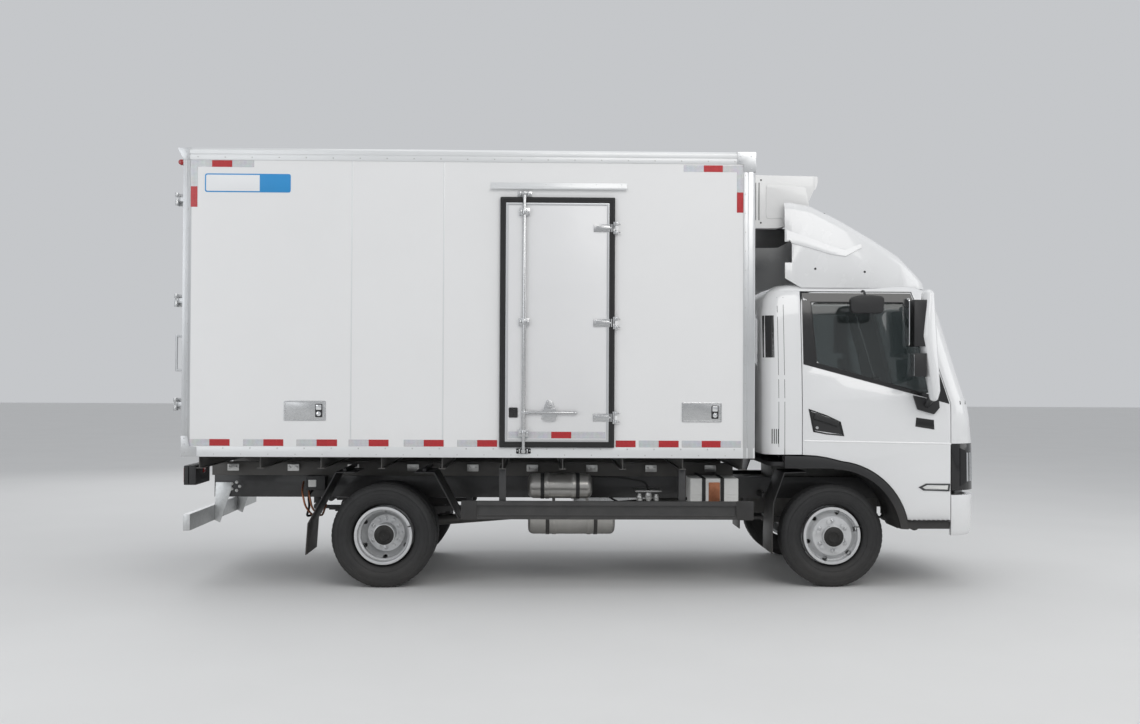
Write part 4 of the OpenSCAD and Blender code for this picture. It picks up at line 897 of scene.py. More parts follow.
bar_x, bar_y = B(1040), DOOR_Y - 20
HINGE_Z = (BB + 293, BB + 985, BB + 1680)
handle_z = dz0 + 251
CAM_Z = (dz0 - 30, dz1 + 26)
b = Bits()
for z in (dz0 + 103, (dz0 + dz1) / 2, dz1 - 107):
    for dx in (-27, 27):
        b.hexnut((bar_x + dx, DOOR_Y - 28, z), (0, -1, 0), 13, 7)
    b.lathe(rect(14, -20, 19, 20), (bar_x, bar_y, z), (0, 0, 1), 28)
    b.prism(rr(bar_x - 40, z - 28, bar_x + 40, z + 28, 9), DOOR_Y - 5, DOOR_Y - 1, "y")
for z in HINGE_Z:
    for dx in (-150, -112, -46):
        b.dome((dx1 + 14 + dx, DOOR_Y - 7, z), (0, -1, 0), 8, 4.5, 14)
    b.prism(rounded([(dx1 - 136, z - 16), (dx1 - 40, z - 16), (dx1 - 30, z), (dx1 - 40, z + 16), (dx1 - 136, z + 16)],
                    8), DOOR_Y - 12, DOOR_Y - 6, "y")
# cams at the ends of the bar
for z in CAM_Z:
    b.prism(rounded([(bar_x - 16, bar_y - 16), (bar_x + 16, bar_y - 16), (bar_x + 12, bar_y + 30),
                     (bar_x - 12, bar_y + 30)], 6), z - 9, z + 9, "z")
# handle: round grip, pivot and hasp loop
b.rod((bar_x + 40, bar_y - 1, handle_z), (bar_x + 380, bar_y - 1, handle_z), 9, 20)
b.dome((bar_x + 380, bar_y - 1, handle_z), (1, 0, 0), 12, 14, 20, 4, 14)
b.rod((bar_x, bar_y - 20, handle_z), (bar_x, bar_y, handle_z), 17, 24)
b.hexnut((bar_x, bar_y - 20, handle_z), (0, -1, 0), 17, 8)
b.prism(rounded([(bar_x + 128, dz0 + 199), (bar_x + 214, dz0 + 183), (bar_x + 246, dz0 + 225),
                 (bar_x + 214, dz0 + 330), (bar_x + 172, dz0 + 348),
                 (bar_x + 150, dz0 + 300)], 14), DOOR_Y - 6, DOOR_Y - 1.5, "y")
b.sweep([(bar_x + 190 + 17 * math.cos(t * math.pi / 12), DOOR_Y - 34 + 12 * math.sin(t * math.pi / 12),
          dz0 + 300 + 6 * math.sin(t * math.pi / 12))
         for t in range(0, 25)], 4, 8)
for x, z in ((146, 214), (222, 236), (176, 332)):
    b.dome((bar_x + x, DOOR_Y - 6, dz0 + z), (0, -1, 0), 6, 3.4, 12)
b.out("side_door_fittings", stainless, "side_door", 1)
b = Bits()
b.prism(rr(B(932), 1272, B(997), 1346, 9), DOOR_Y - 9, DOOR_Y - 2, "y")
b.rod((B(965), DOOR_Y - 9, 1322), (B(965), DOOR_Y - 15, 1322), 13, 24)
b.prism(rect(B(962), 1286, B(968), 1308), DOOR_Y - 18, DOOR_Y - 9, "y")
b.out("side_door_lock", gloss_black, "side_door", 1.5)
# keepers on the body
b = Bits()
for z in CAM_Z:
    b.prism(rr(bar_x - 54, z - 20, bar_x + 54, z + 20, 6), Y - 5, Y + 0.5, "y")
    for s in (-1, 1):
        b.prism(rounded([(bar_x + s * 22, Y - 4), (bar_x + s * 36, Y - 4), (bar_x + s * 33, bar_y + 2),
                         (bar_x + s * 22, bar_y + 6)], 3), z - 15, z + 15, "z")
        b.dome((bar_x + s * 45, Y - 5, z), (0, -1, 0), 6, 3.4, 12)
for z in HINGE_Z:
    for dz in (-30, 30):
        b.dome((dx1 + 38, Y - 8, z + dz), (0, -1, 0), 7, 4, 12)
b.out("side_door_keepers", stainless, "chassis", 1)
# frame of the opening, seen when the door is open
b = Bits()
ring_plate(b, inside(22, 6), inside(48, 6), Y - 1.4,
           Y + 0.4)
b.out("side_opening_frame", alloy_v, "chassis", 0.6)

# ------------------------------------------------------------------ rear of the box

FX = BR - 12                       # outer face of the rear doors
yo = RDHI[1]
REAR_HINGE_Z = (BB + 378, BB + 1133, BB + 1871)
for s, body in ((-1, "rear_door_right"), (1, "rear_door_left")):
    tag = "right" if s < 0 else "left"

    def ys(v):
        return s * v
    b = Bits()
    o = rect(ys(RDLO[1] + 1), RDLO[2] + 1, ys(yo - 1), RDHI[2] - 1)
    i1 = rect(ys(RDLO[1] + 30), RDLO[2] + 30, ys(yo - 30), RDHI[2] - 30)
    ring_plate(b, rounded(o, 6), rounded(i1, 6), FX - 4, FX + 1, "x")
    o2 = [(ys(abs(p[0]) + (8 if k in (0, 3) else -8)), p[1] + (8 if k < 2 else -8)) for k, p in enumerate(o)]
    i2 = [(ys(abs(p[0]) + (8 if k in (0, 3) else -8)), p[1] + (8 if k < 2 else -8)) for k, p in enumerate(o2)]
    ring_plate(b, rounded(o2, 6), rounded(i2, 6), FX - 6, FX - 3, "x")
    b.out("rear_door_seal_" + tag, rubber, body, 1)
    b = Bits()
    i3 = rect(ys(RDLO[1] + 29), RDLO[2] + 29, ys(yo - 29), RDHI[2] - 29)
    i4 = rect(ys(RDLO[1] + 48), RDLO[2] + 48, ys(yo - 48), RDHI[2] - 48)
    ring_plate(b, rounded(i3, 4), rounded(i4, 4), FX - 5, FX + 0.5, "x")
    for k in range(12):
        z = RDLO[2] + 90 + k * (RDHI[2] - RDLO[2] - 180) / 11
        for y in (ys(RDLO[1] + 38), ys(yo - 38)):
            b.dome((FX - 5, y, z), (-1, 0, 0), 3.2, 1.8, 8, 2)
    b.out("rear_door_edging_" + tag, alloy_v, body, 0.8)
    b = Bits()
    bx_, by_ = FX - 20, ys(170)
    for z in (RDLO[2] + 90, (RDLO[2] + RDHI[2]) / 2, RDHI[2] - 90):
        for dy in (-27, 27):
            b.hexnut((FX - 28, by_ + dy, z), (-1, 0, 0), 13, 7)
        b.lathe(rect(14, -20, 19, 20), (bx_, by_, z), (0, 0, 1), 28)
        b.prism(rr(by_ - 42, z - 29, by_ + 42, z + 29, 9), FX - 4, FX - 0.5, "x")
    for z in REAR_HINGE_Z:
        for k in (60, 105, 150):
            b.dome((FX - 7, ys(HB - 80 - 150 + k - 46), z), (-1, 0, 0), 8, 4.5, 14)
    for z in (RDLO[2] + 20, RDHI[2] - 20):
        b.prism(rounded([(FX - 34, by_ - 16), (FX - 34, by_ + 16), (FX - 4, by_ + 12), (FX - 4, by_ - 12)], 5), z - 9,
                z + 9, "z")
    hz = RDLO[2] + 341
    b.rod((bx_ - 1, by_, hz), (bx_ - 1, ys(500), hz), 9, 20)
    b.dome((bx_ - 1, ys(500), hz), (0, s, 0), 12, 14, 20, 4, 14)
    b.rod((bx_ - 22, by_, hz), (bx_, by_, hz), 17, 24)
    b.hexnut((bx_ - 22, by_, hz), (-1, 0, 0), 17, 8)
    b.prism(rr(ys(386), hz - 62, ys(464), hz + 62, 12), FX - 5, FX - 0.5, "x")
    for y, z in ((396, hz - 50), (454, hz - 50), (396, hz + 50), (454, hz + 50)):
        b.dome((FX - 5, ys(y), z), (-1, 0, 0), 5.5, 3.2, 12)
    b.out("rear_door_fittings_" + tag, stainless, body, 1)
    rd, wt = Bits(), Bits()
    for k in range(4):
        y = 250 + k * 196
        (rd if k % 2 else wt).prism(rr(ys(y), RDLO[2] + 64, ys(y + 190), RDLO[2] + 114, 2, 2), FX - 1.6, FX - 0.2,
                                    "x")
    for z0_, z1_, bb in ((RDHI[2] - 330, RDHI[2] - 180, rd), (RDHI[2] - 180, RDHI[2] - 60, wt)):
        bb.prism(rr(ys(yo - 104), z0_, ys(yo - 54), z1_, 2, 2), FX - 1.6, FX - 0.2, "x")
    rd.out("rear_door_tape_red_" + tag, tape_red, body)
    wt.out("rear_door_tape_white_" + tag, tape_white, body)
    # inner face of the door: a seal round it
    b = Bits()
    ring_plate(b, rect(ys(RDLO[1] + 22), RDLO[2] + 10, ys(yo - 16), RDHI[2] - 10),
               rect(ys(RDLO[1] + 52), RDLO[2] + 42, ys(yo - 46), RDHI[2] - 42),
               FX + 79, FX + 86, "x")
    b.out("rear_door_inner_seal_" + tag, rubber, body, 2.5)

b = Bits()
y = 170                            # the lock bar
for z in (RDLO[2] - 30, RDHI[2] + 28):
    b.prism(rr(y - 56, z - 20, y + 56, z + 20, 6), BR - 5, BR + 0.5, "x")
    for k in (-1, 1):
        b.prism(rounded([(BR - 4, y + k * 22), (BR - 4, y + k * 36), (BR - 34, y + k * 33), (BR - 38, y + k * 22)],
                        3), z - 15, z + 15, "z")
        b.dome((BR - 5, y + k * 45, z), (-1, 0, 0), 6, 3.4, 12)
for z in REAR_HINGE_Z:
    b.prism(rr(HB - 40, z - 15, HB - 4, z + 15, 3), BR - 4, BR + 0.5, "x")
b.both().out("rear_keepers", stainless, "chassis", 1)
b = Bits()
for z in (BB + 626, BB + 874):
    b.lathe(rect(9.5, -6, 22, 0), (BR, -HB + 40, z), (1, 0, 0), 24)
b.out("grab_handle_feet", stainless, "chassis", 1)

# marker lamps under the rear visor and at its corners
b, hs = Bits(), Bits()
for y in (1040, 350):
    b.prism(rr(y - 42, BT - 124, y + 42, BT - 88, 14), BR - 22, BR - 2, "x")
    hs.prism(rr(y - 48, BT - 129, y + 48, BT - 83, 16), BR - 9, BR + 0.5, "x")
b.both().out("rear_marker_lamps", red_lens, "chassis", 4, 3)
hs.both().out("rear_marker_bases", black_plastic, "chassis", 1.5)
b = Bits()
b.dome((BR - 20, HB - 14, BT - 106), (-1, 0, 0), 22, 16, 24, 5, 12)
b.dome((BR - 18, HB + 2, BT - 106), (0, 1, 0), 20, 7, 24, 5, 4)
b.both().out("corner_marker_lamps", red_lens, "chassis")

# sill of the rear frame: step plate, bolts and a blank panel
b = Bits()
b.prism([(BR - 6, BB + 96), (BR + 60, BB + 96), (BR + 60, BB + 99.5), (BR - 9, BB + 99.5), (BR - 9, BB + 60),
         (BR - 6, BB + 60)], -HB + 84, HB - 84, "y")
for i in range(13):
    y = -980 + i * 1960 / 12
    b.dome((BR - 9, y, BB + 78), (-1, 0, 0), 5, 2.6, 10, 2)
b.out("rear_step_plate", stainless, "chassis", 0.8)
b = Bits()
b.prism(rr(-225, BB + 6, 225, BB + 56, 5), BR - 3, BR + 0.5, "x")
b.out("rear_sill_panel", alloy, "chassis", 0.8)

# tail lamps: housings and separate lenses
LLO = mm("tail_lamps")[0]
b, am, cl, rd = Bits(), Bits(), Bits(), Bits()
ring_plate(b, rr(700 - 4, LLO[2] - 4, 1074, LLO[2] + 138, 12),
           rr(706, LLO[2] + 6, 1064, LLO[2] + 128, 9), LLO[0] - 1, LLO[0] + 40, "x")
b.prism(rr(696, LLO[2] - 4, 1074, LLO[2] + 138, 12), LLO[0] + 30, LLO[0] + 86, "x")
b.both().out("tail_lamp_housings", black_plastic, "chassis", 2)
for y0, y1, bb in ((712, 790, cl), (796, 880, am), (886, 1058, rd)):
    bb.prism(rr(y0, LLO[2] + 12, y1, LLO[2] + 122, 7), LLO[0] - 7, LLO[0] + 2, "x")
    for k in range(5):
        zz = LLO[2] + 22 + k * 20
        bb.prism(rect(y0 + 6, zz, y1 - 6, zz + 9), LLO[0] - 8.2, LLO[0] - 6, "x")
cl.both().out("tail_lenses_clear", label_white, "chassis", 2)
am.both().out("tail_lenses_amber", amber_lens, "chassis", 2)
rd.both().out("tail_lenses_red", red_lens, "chassis", 2)

# inside of the box: ribbed floor, kick plates, evaporator and lamps
b = Bits()
x0, x1 = FRLO[0] + 4, FRHI[0] - 4
for i in range(52):
    y = -1020 + i * 40
    b.prism([(y - 4, FRHI[2] - 1), (y + 4, FRHI[2] - 1), (y + 4, FRHI[2] + 5), (y + 9, FRHI[2] + 5),
             (y + 9, FRHI[2] + 9), (y - 9, FRHI[2] + 9),
             (y - 9, FRHI[2] + 5), (y - 4, FRHI[2] + 5)], x0, x1, "x")
b.out("load_floor_ribs", load_floor, "chassis")
b = Bits()
iy = HB - 80
b.prism(rect(FRLO[0] + 2, FRHI[2], FRHI[0] - 2, FRHI[2] + 260), iy - 3, iy + 0.5, "y")
for z in (FRHI[2] + 30, FRHI[2] + 230):
    for i in range(16):
        b.dome((FRLO[0] + 120 + i * 255, iy - 3, z), (0, -1, 0), 5, 2.5, 8, 2)
b.out("kick_plate_left", alloy, "chassis", 0.8)
b = Bits()
for a, c in ((FRLO[0] + 2, dx0 + 40), (dx1 - 40, FRHI[0] - 2)):
    b.prism(rect(a, FRHI[2], c, FRHI[2] + 260), -iy - 0.5, -iy + 3, "y")
b.out("kick_plate_right", alloy, "chassis", 0.8)
zc = BT - 80
b = Bits()
b.prism(rounded([(BF - 82, zc - 2), (BF - 82, zc - 250), (BF - 420, zc - 210), (BF - 700, zc - 90),
                 (BF - 700, zc - 2)], [4, 30, 60, 30, 4]), -640, 640, "y")
b.out("evaporator_case", unit_paint, "chassis", 6, 3)
b = Bits()
for k in range(3):
    y = -400 + 400 * k
    for r in (150, 120, 90, 60, 30):
        b.lathe(rect(r, -2, r + 4, 2), (BF - 590, y, zc - 146), (-0.42, 0, -0.9), 36)
    for a in range(6):
        t = a * math.pi / 3
        u, v_ = Vector((0.9, 0, -0.42)), Vector((0, 1, 0))
        c = Vector((BF - 590, y, zc - 146))
        b.rod(c + (u * math.cos(t) + v_ * math.sin(t)) * 12, c + (u * math.cos(t) + v_ * math.sin(t)) * 152, 2.4, 6)
b.out("evaporator_grilles", black_plastic, "chassis")
b = Bits()
for x in (BR + 900, BR + 2500):
    b.prism(rr(x - 150, -60, x + 150, 60, 20), zc - 26, zc + 1, "z")
b.out("load_space_lamps", label_white, "chassis", 8, 3)

# ------------------------------------------------------------------ cab

for s, tag in ((-1, "right"), (1, "left")):
    door = "cab_door_" + tag

    def hit(u, v, s=s):
        return on_side(s, *side(u, v))

    def at(x, z, off=0.0):
        p, n = hit(F(x), z)
        return p + n * off

    # black surround of the side window
    glass = [(-158, 2141), (-126, 1686), (732, 1449), (690, 1685), (655, 1825), (556, 2141)]
    edge = [(-229, 2214), (-229, 1674), (868, 1382), (783, 1652), (727, 1825), (598, 2214)]
    b = Bits()
    lay_ring(b, on_cab(glass), on_cab(edge), hit, 3, 1.6, 2, 60)
    b.out("window_surround_" + tag, gloss_black, door)
    b = Bits()
    g2 = [(x + (7 if x > 0 else -7), z + (-7 if z < 1760 else 7)) for x, z in glass]
    lay_ring(b, on_cab(g2), on_cab(glass), hit, 1, 3.4, 3, 60)
    b.out("window_rubber_" + tag, rubber, door)
    # handle recess, flap and key cylinder
    b = Bits()
    o = [(-195, 1342), (-60, 1295), (48, 1245), (74, 1138), (-60, 1150), (-160, 1169)]
    cx, cz = sum(p[0] for p in o) / 6, sum(p[1] for p in o) / 6
    o2 = [(x * 0.86 + cx * 0.14, z * 0.86 + cz * 0.14) for x, z in o]
    lay_ring(b, on_cab(o2), on_cab(o), hit, 2, 2.6, 2, 40)
    b.out("handle_bezel_" + tag, gloss_black, door)
    b = Bits()
    lay_quad(b, (F(-176), 1322), (F(44), 1240), (F(60), 1150), (F(-150), 1180), hit, 7, 4, 1.2, 2)
    b.out("handle_recess_" + tag, black_plastic, door)
    b = Bits()
    p0, p1 = at(-150, 1296, 9), at(30, 1232, 9)
    d = p1 - p0
    n = hit(F(-60), 1260)[1]
    up = d.cross(n).normalized()
    if up.z < 0:
        up = -up
    q = [p0 + up * 17, p1 + up * 15, p1 - up * 24, p0 - up * 30]
    b.add([a - n * 7 for a in q] + [a + n * 7 for a in q], [(0, 1, 2, 3), (7, 6, 5, 4), (0, 4, 5, 1), (1, 5, 6, 2),
                                                            (2, 6, 7, 3), (3, 7, 4, 0)])
    b.out("handle_flap_" + tag, black_plastic, door, 5, 3)
    b = Bits()
    p, n = hit(F(-130), 1200)
    b.lathe([(0, 5), (9, 5), (11, 3.5), (11, 0)], p + n, tuple(n), 24)
    b.out("key_cylinder_" + tag, stainless, door)
    # blank badge and turn lamp, low on the door
    b = Bits()
    lay_quad(b, (F(609), 1212), (F(752), 1190), (F(748), 1262), (F(615), 1280), hit, 4, 3, 4, 2)
    b.out("door_badge_" + tag, gloss_black, door, 2)
    b = Bits()
    o = [(634, 757), (670, 734), (866, 729), (872, 785), (690, 786)]
    i_ = [(662, 757), (684, 744), (852, 740), (857, 775), (700, 776)]
    lay_ring(b, on_cab(i_), on_cab(o), hit, 2, 6, 2, 40)
    b.out("turn_lamp_housing_" + tag, dash_grey, door, 1)
    b = Bits()
    lay_quad(b, (F(664), 757), (F(852), 741), (F(857), 774), (F(666), 760), hit, 6, 3, 4.5, 2)
    b.out("turn_lamp_lens_" + tag, label_white, door)
    # crease and seams
    b = Bits()
    lay(b, [[(F(-228 + i * 61.5), 1108 - i * 0.9, 0.3) for i in range(19)],
            [(F(-228 + i * 61.5), 1101 - i * 0.9, 3.0) for i in range(19)],
            [(F(-228 + i * 61.5), 1092 - i * 0.9, 0.3) for i in range(19)]], hit, 1, 2)
    b.out("door_crease_" + tag, cab_paint, door)
    b = Bits()
    for x in (-417, -372):
        lay(b, [[(F(x) - 1.6, z) for z in range(980, 2221, 80)], [(F(x) + 1.6, z) for z in range(980, 2221, 80)]],
            hit, 0.5, 2)
    b.out("cab_seams_" + tag, rubber, "cab")
    # slot vents and a small window on the rear corner
    b = Bits()
    for k in range(4):
        x = -468 + k * 15
        lay_quad(b, (F(x), 1080), (F(x + 6), 1080), (F(x + 6), 1190), (F(x), 1190), hit, 1, 5, 1.2, 1)
    b.out("corner_vents_" + tag, rubber, "cab")
    b = Bits()
    lay_quad(b, (F(-520), 1724), (F(-445), 1724), (F(-445), 2042), (F(-520), 2042), hit, 4, 7, 1.4, 1)
    b.out("corner_window_" + tag, gloss_black, "cab")

# black band under the windscreen
b = Bits()
RND = from_round(CAB, FA + 500)
lay_quad(b, (-64, 1378), (64, 1378), (64, 1404), (-64, 1404), RND, 26, 1, 1.8, 2)
b.out("windscreen_lower_band", gloss_black, "cab")

# sill plates with tread on the cab steps
b = Bits()
for k in range(9):
    x = F(556 + k * 36)
    b.prism(rr(x, -1010, x + 22, -905, 4, 2), 511, 515, "z")
b.both().out("step_treads", black_plastic, "cab")

# refrigeration unit
b = Bits()
ux0, ux1 = ULO[0], UHI[0]
uw = UHI[1]
for s in (-1, 1):
    for k in range(3):
        x = ux0 + 40 + 26 * k
        b.prism(rect(x, ULO[2] + 60, x + 6, UHI[2] - 60), s * uw - 2, s * uw + 0.8, "y")
b.out("unit_grooves", rubber, "chassis")
b = Bits()
for s in (-1, 1):
    b.prism(rounded([(ux0 + 150, ULO[2] + 70), (ux1 - 70, ULO[2] + 90), (ux1 - 110, UHI[2] - 90),
                     (ux0 + 150, UHI[2] - 70)], 30), s * uw - 1, s * (uw + 5), "y")
b.out("unit_side_panels", unit_paint, "chassis", 4, 3)
b = Bits()
gz0, gz1 = ULO[2] + 120, UHI[2] - 110
gy = uw - 260


def unit_hit(u, v):
    p, n, _, _ = UNIT.ray_cast(Vector((6000, u, v)), Vector((-1, 0, 0)))
    return (p, n if n.x > 0 else -n) if p is not None else (Vector((ux1, u, v)), Vector((1, 0, 0)))


UNIT = skin("refrigeration_unit")
for k in range(15):
    z = gz0 + k * (gz1 - gz0) / 15
    lay_quad(b, (-gy, z), (gy, z), (gy, z + 9), (-gy, z + 9), unit_hit, 10, 1, 6, 2)
for k in range(11):
    y = -gy + k * 2 * gy / 10
    lay_quad(b, (y - 4, gz0), (y + 4, gz0), (y + 4, gz1), (y - 4, gz1), unit_hit, 1, 8, 9, 2)
b.out("unit_grille", black_plastic, "chassis")
b = Bits()
lay_quad(b, (-gy, gz0), (gy, gz0), (gy, gz1), (-gy, gz1), unit_hit, 10, 8, 1, 2)
b.out("unit_fins", heat_steel, "chassis")
b = Bits()
lay_ring(b, rect(-gy, gz0, gy, gz1), rect(-gy - 22, gz0 - 22, gy + 22, gz1 + 22), unit_hit, 2, 10, 2, 90)
b.out("unit_grille_frame", black_plastic, "chassis", 1)
# painted shade: a black sheet on the unit's bottom face stands in for the shade under the unit; the bolt heads on the
# unit's sides are in the same piece
b = Bits()
b.prism(rounded([(ux0 + 30, -uw + 60), (ux1 - 60, -uw + 120), (ux1 - 60, uw - 120), (ux0 + 30, uw - 60)], 40),
        ULO[2] - 4, ULO[2] + 6, "z")
for s in (-1, 1):
    for z in (ULO[2] + 40, UHI[2] - 40):
        b.dome((ux0 + 110, s * uw, z), (0, s, 0), 7, 4, 14)
b.out("unit_underside_painted_shade", black_plastic, "chassis", 2)

# wind deflector: raised wing panels, bolts and a gasket over the roof
for s, tag in ((-1, "right"), (1, "left")):
    def fh(u, v, s=s):
        return on_side(s, *on_fairing(u, v))
    b = Bits()
    low = [(-335, 2600), (-180, 2562), (4, 2508), (113, 2494), (236, 2560)]
    rows = []
    for t, h in ((0, 0.2), (0.04, 7), (0.12, 9), (0.5, 5), (1, 0.2)):
        rows.append([(F(x), z + (96 - 60 * i / 4) * t, h) for i, (x, z) in enumerate(low)])
    fine = []
    for r in rows:
        o = []
        for a, c in zip(r, r[1:]):
            o += even(a, c, 4)[:-1]
        fine.append(o + [r[-1]])
    lay(b, fine, fh, 1, 3)
    b.out("deflector_wing_" + tag, fairing_paint, "cab")
    b = Bits()
    for x, z in ((-120, 2400), (260, 2380)):
        p, n = fh(F(x), z)
        b.dome(p, tuple(n), 9, 5, 16)
    b.out("deflector_bolts_" + tag, black_plastic, "cab")
    b = Bits()
    b.sweep([hit(F(x), z)[0] for x, z in ((-228, 2250), (0, 2252), (250, 2254), (440, 2250))], 6, 10)
    b.out("deflector_gasket_" + tag, rubber, "cab")

# ------------------------------------------------------------------ headlamps, grille, wipers

HL = from_round(CAB, FA + 500)
PROJECTORS = ((42, 960), (50, 965), (42, 860), (51, 865))      # angle round the cab, height
for s, tag in ((-1, "right"), (1, "left")):
    def hh(u, v, s=s):
        return on_side(s, *HL(-abs(u), v))
    b = Bits()
    lay_ring(b, [(36, 800), (62, 790), (62, 1030), (40, 1010)], [(33, 780), (65, 765), (65, 1052), (36, 1034)], hh, 2,
             4, 2, 30)
    b.out("headlamp_rim_" + tag, gloss_black, "cab")
    b = Bits()
    for a, z in PROJECTORS:
        p, n = hh(a, z)
        b.lathe([(0, 3), (24, 4), (34, 9), (38, 9), (40, 2), (40, -2)], p, tuple(n), 36)
    b.out("headlamp_reflectors_" + tag, chrome, "cab")
    b = Bits()
    for a, z in PROJECTORS:
        p, n = hh(a, z)
        b.dome(p + n * 2, tuple(n), 26, 9, 28, 4)
    b.out("headlamp_projectors_" + tag, lamp_glass, "cab")
    b = Bits()
    for k in range(3):
        lay_quad(b, (56 + k * 2.2, 800), (57.2 + k * 2.2, 800), (57.2 + k * 2.2, 1015), (56 + k * 2.2, 1015), hh, 1,
                 8, 5, 1)
    b.out("headlamp_strips_" + tag, chrome, "cab")

b = Bits()
for k in range(6):
    z = 492 + k * 19
    w_ = 500 - abs(k - 2) * 4
    b.prism(rr(-w_, z, w_, z + 7, 2, 2), FA + 1030, FA + 1112, "x")
b.out("bumper_grille_bars", black_plastic, "cab", 1)
b = Bits()
b.prism(rect(-240, 560, 240, 668), FA + 1128, FA + 1133, "x")
for y in (-200, 200):
    b.dome((FA + 1133, y, 640), (1, 0, 0), 6, 3, 14)
b.out("front_number_panel", label_white, "cab", 1.5)
b = Bits()
FRN = from_front(CAB)
for k in range(3):
    z = 1190 + k * 44
    lay_quad(b, (-420 + k * 10, z), (420 - k * 10, z), (420 - k * 10, z + 22), (-420 + k * 10, z + 22), FRN, 16, 2, 3,
             2)
b.out("front_grille_slots", gloss_black, "cab")
b = Bits()
GL = from_front(skin("cab_glass"))
for y0, y1 in ((-560, -60), (80, 600)):
    pts = [GL(y0 + (y1 - y0) * t / 8, 1470 + 50 * t / 8) for t in range(9)]
    b.sweep([p + n * 9 for p, n in pts], 5, 8)
    b.sweep([p + n * 19 for p, n in pts[2:7]], 4, 8)
    q, n = FRN((y0 + y1) / 2 + 180, 1392)
    b.lathe([(0, 18), (14, 16), (17, 8), (17, -4)], q, tuple(n), 20)
    b.sweep([q + n * 14, pts[4][0] + pts[4][1] * 24], 6, 8)
b.out("wipers", black_plastic, "cab")

# ------------------------------------------------------------------ mirror faces

MIRROR_Y = 1168                    # middle of the mirror heads

for s, tag in ((-1, "right"), (1, "left")):
    door = "cab_door_" + tag
    b = Bits()
    y = s * MIRROR_Y
    for z0, z1, x in ((1800, 2166, 484), (1576, 1762, 522)):
        b.prism(rr(y - 82, z0 + 8, y + 82, z1 - 8, 26), F(x) - 3.5, F(x) + 2, "x")
    b.out("mirror_faces_" + tag, mirror_face, door, 1)

# ------------------------------------------------------------------ wheels

for nm, body in (("tyre_front_right", "wheel_front_right"), ("tyre_front_left", "wheel_front_left"),
                 ("tyres_rear_right", "wheels_rear_right"), ("tyres_rear_left", "wheels_rear_left")):
    lo, hi = mm(nm)
    cx = (lo[0] + hi[0]) / 2
    twin = (hi[1] - lo[1]) > 300
    TW = TW if twin else hi[1] - lo[1]
    each = [(lo[1], lo[1] + TW), (hi[1] - TW, hi[1])] if twin else [(lo[1], hi[1])]
    b = Bits()
    for a, c in each:
        m, w = (a + c) / 2, (c - a) / 2
        prof = [(0.595, -0.44), (0.60, -0.60), (0.62, -0.70), (0.66, -0.80), (0.72, -0.93), (0.78, -0.995),
                (0.84, -0.985), (0.875, -0.955),
                (0.885, -0.975), (0.92, -0.93), (0.955, -0.86), (0.985, -0.76), (0.995, -0.70)]
        tread = []
        for g in (-0.45, 0.0, 0.45):
            tread += [(1.0 - 0.004 * abs(g), g - 0.055), (0.975, g - 0.04), (0.975, g + 0.04),
                      (1.0 - 0.004 * abs(g), g + 0.055)]
        full = prof + tread + [(r, -t) for r, t in reversed(prof)]
        b.lathe([(r * R_TYRE, t * w) for r, t in full], (cx, m, AZ), (0, 1, 0), 96)
    b.out(nm + "_carcass", tyre_rubber, body, 0, 1, 60)
    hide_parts(nm)
    # shoulder blocks, and raised rings on the sidewalls
    b = Bits()
    for a, c in each:
        m, w = (a + c) / 2, (c - a) / 2
        for sg in (-1, 1):
            for r, y in ((0.70, 0.885), (0.80, 0.985), (0.86, 0.965)):
                b.lathe([(r * R_TYRE - 3, -3), (r * R_TYRE - 2, 2.2), (r * R_TYRE + 2, 2.2), (r * R_TYRE + 3, -3)],
                        (cx, m + sg * y * w, AZ), (0, sg, 0), 72)
    for a, c in each:
        m, w = (a + c) / 2, (c - a) / 2
        for k in range(60):
            t = 2 * math.pi * k / 60
            for sg in (-1, 1):
                u = Vector((math.cos(t), 0, math.sin(t)))
                v_ = Vector((-math.sin(t), 0, math.cos(t)))
                o = Vector((cx, m, AZ))
                q = []
                for r, yy in ((0.999, 0.52), (0.999, 0.70), (0.945, 0.90), (0.93, 0.86), (0.96, 0.52)):
                    q.append((r * R_TYRE, sg * yy * w))
                v3 = [o + u * r + Vector((0, yy, 0)) + v_ * d for d in (-12, 12) for r, yy in q]
                f = [tuple(range(5)), tuple(reversed(range(5, 10)))] + [(i, i + 5, (i + 1) % 5 + 5,
                                                            (i + 1) % 5) for i in range(5)]
                if sg > 0:
                    f = [tuple(reversed(g)) for g in f]
                b.add(v3, f)
    b.out(nm + "_tread", tyre_rubber, body)

for nm, body, s in (("rim_front_right", "wheel_front_right", -1), ("rim_front_left", "wheel_front_left", 1),
                    ("rims_rear_right", "wheels_rear_right", -1), ("rims_rear_left", "wheels_rear_left", 1)):
    lo, hi = mm(nm)
    cx = (lo[0] + hi[0]) / 2
    tree = skin(nm)
    b, c, d = Bits(), Bits(), Bits()

    def face(r, a):
        x, z = cx + r * math.cos(a), AZ + r * math.sin(a)
        p, n, _, _ = tree.ray_cast(Vector((x, s * 3000, z)), Vector((0, -s, 0)))
        return p if p is not None else Vector((x, s * 900, z))
    for k in range(6):
        a = math.radians(90 + 60 * k)
        p = face(111, a)
        b.lathe([(17, 0), (17, 2.5), (13, 3.5), (13, 0)], p, (0, s, 0), 20)
        b.hexnut(p, (0, s, 0), 20, 16)
        b.lathe([(0, 26), (6, 25), (7, 16), (7, 0)], p, (0, s, 0), 14)
    b.out(nm + "_nuts", stainless, body, 0.8)
    p = face(0, 0)
    c.lathe([(0, 10), (30, 10), (33, 15), (44, 15), (48, 9), (66, 7), (74, 2), (76, -8)], p, (0, s, 0), 48)
    c.out(nm + "_cap", hub_dark, body, 1)
    p = face(196, math.radians(20))
    d.sweep(bent([p, p + Vector((6, s * 30, 4)), p + Vector((26, s * 48, 12))], 12), 4, 10)
    d.out(nm + "_valve", rubber, body)

# ------------------------------------------------------------------ under the box

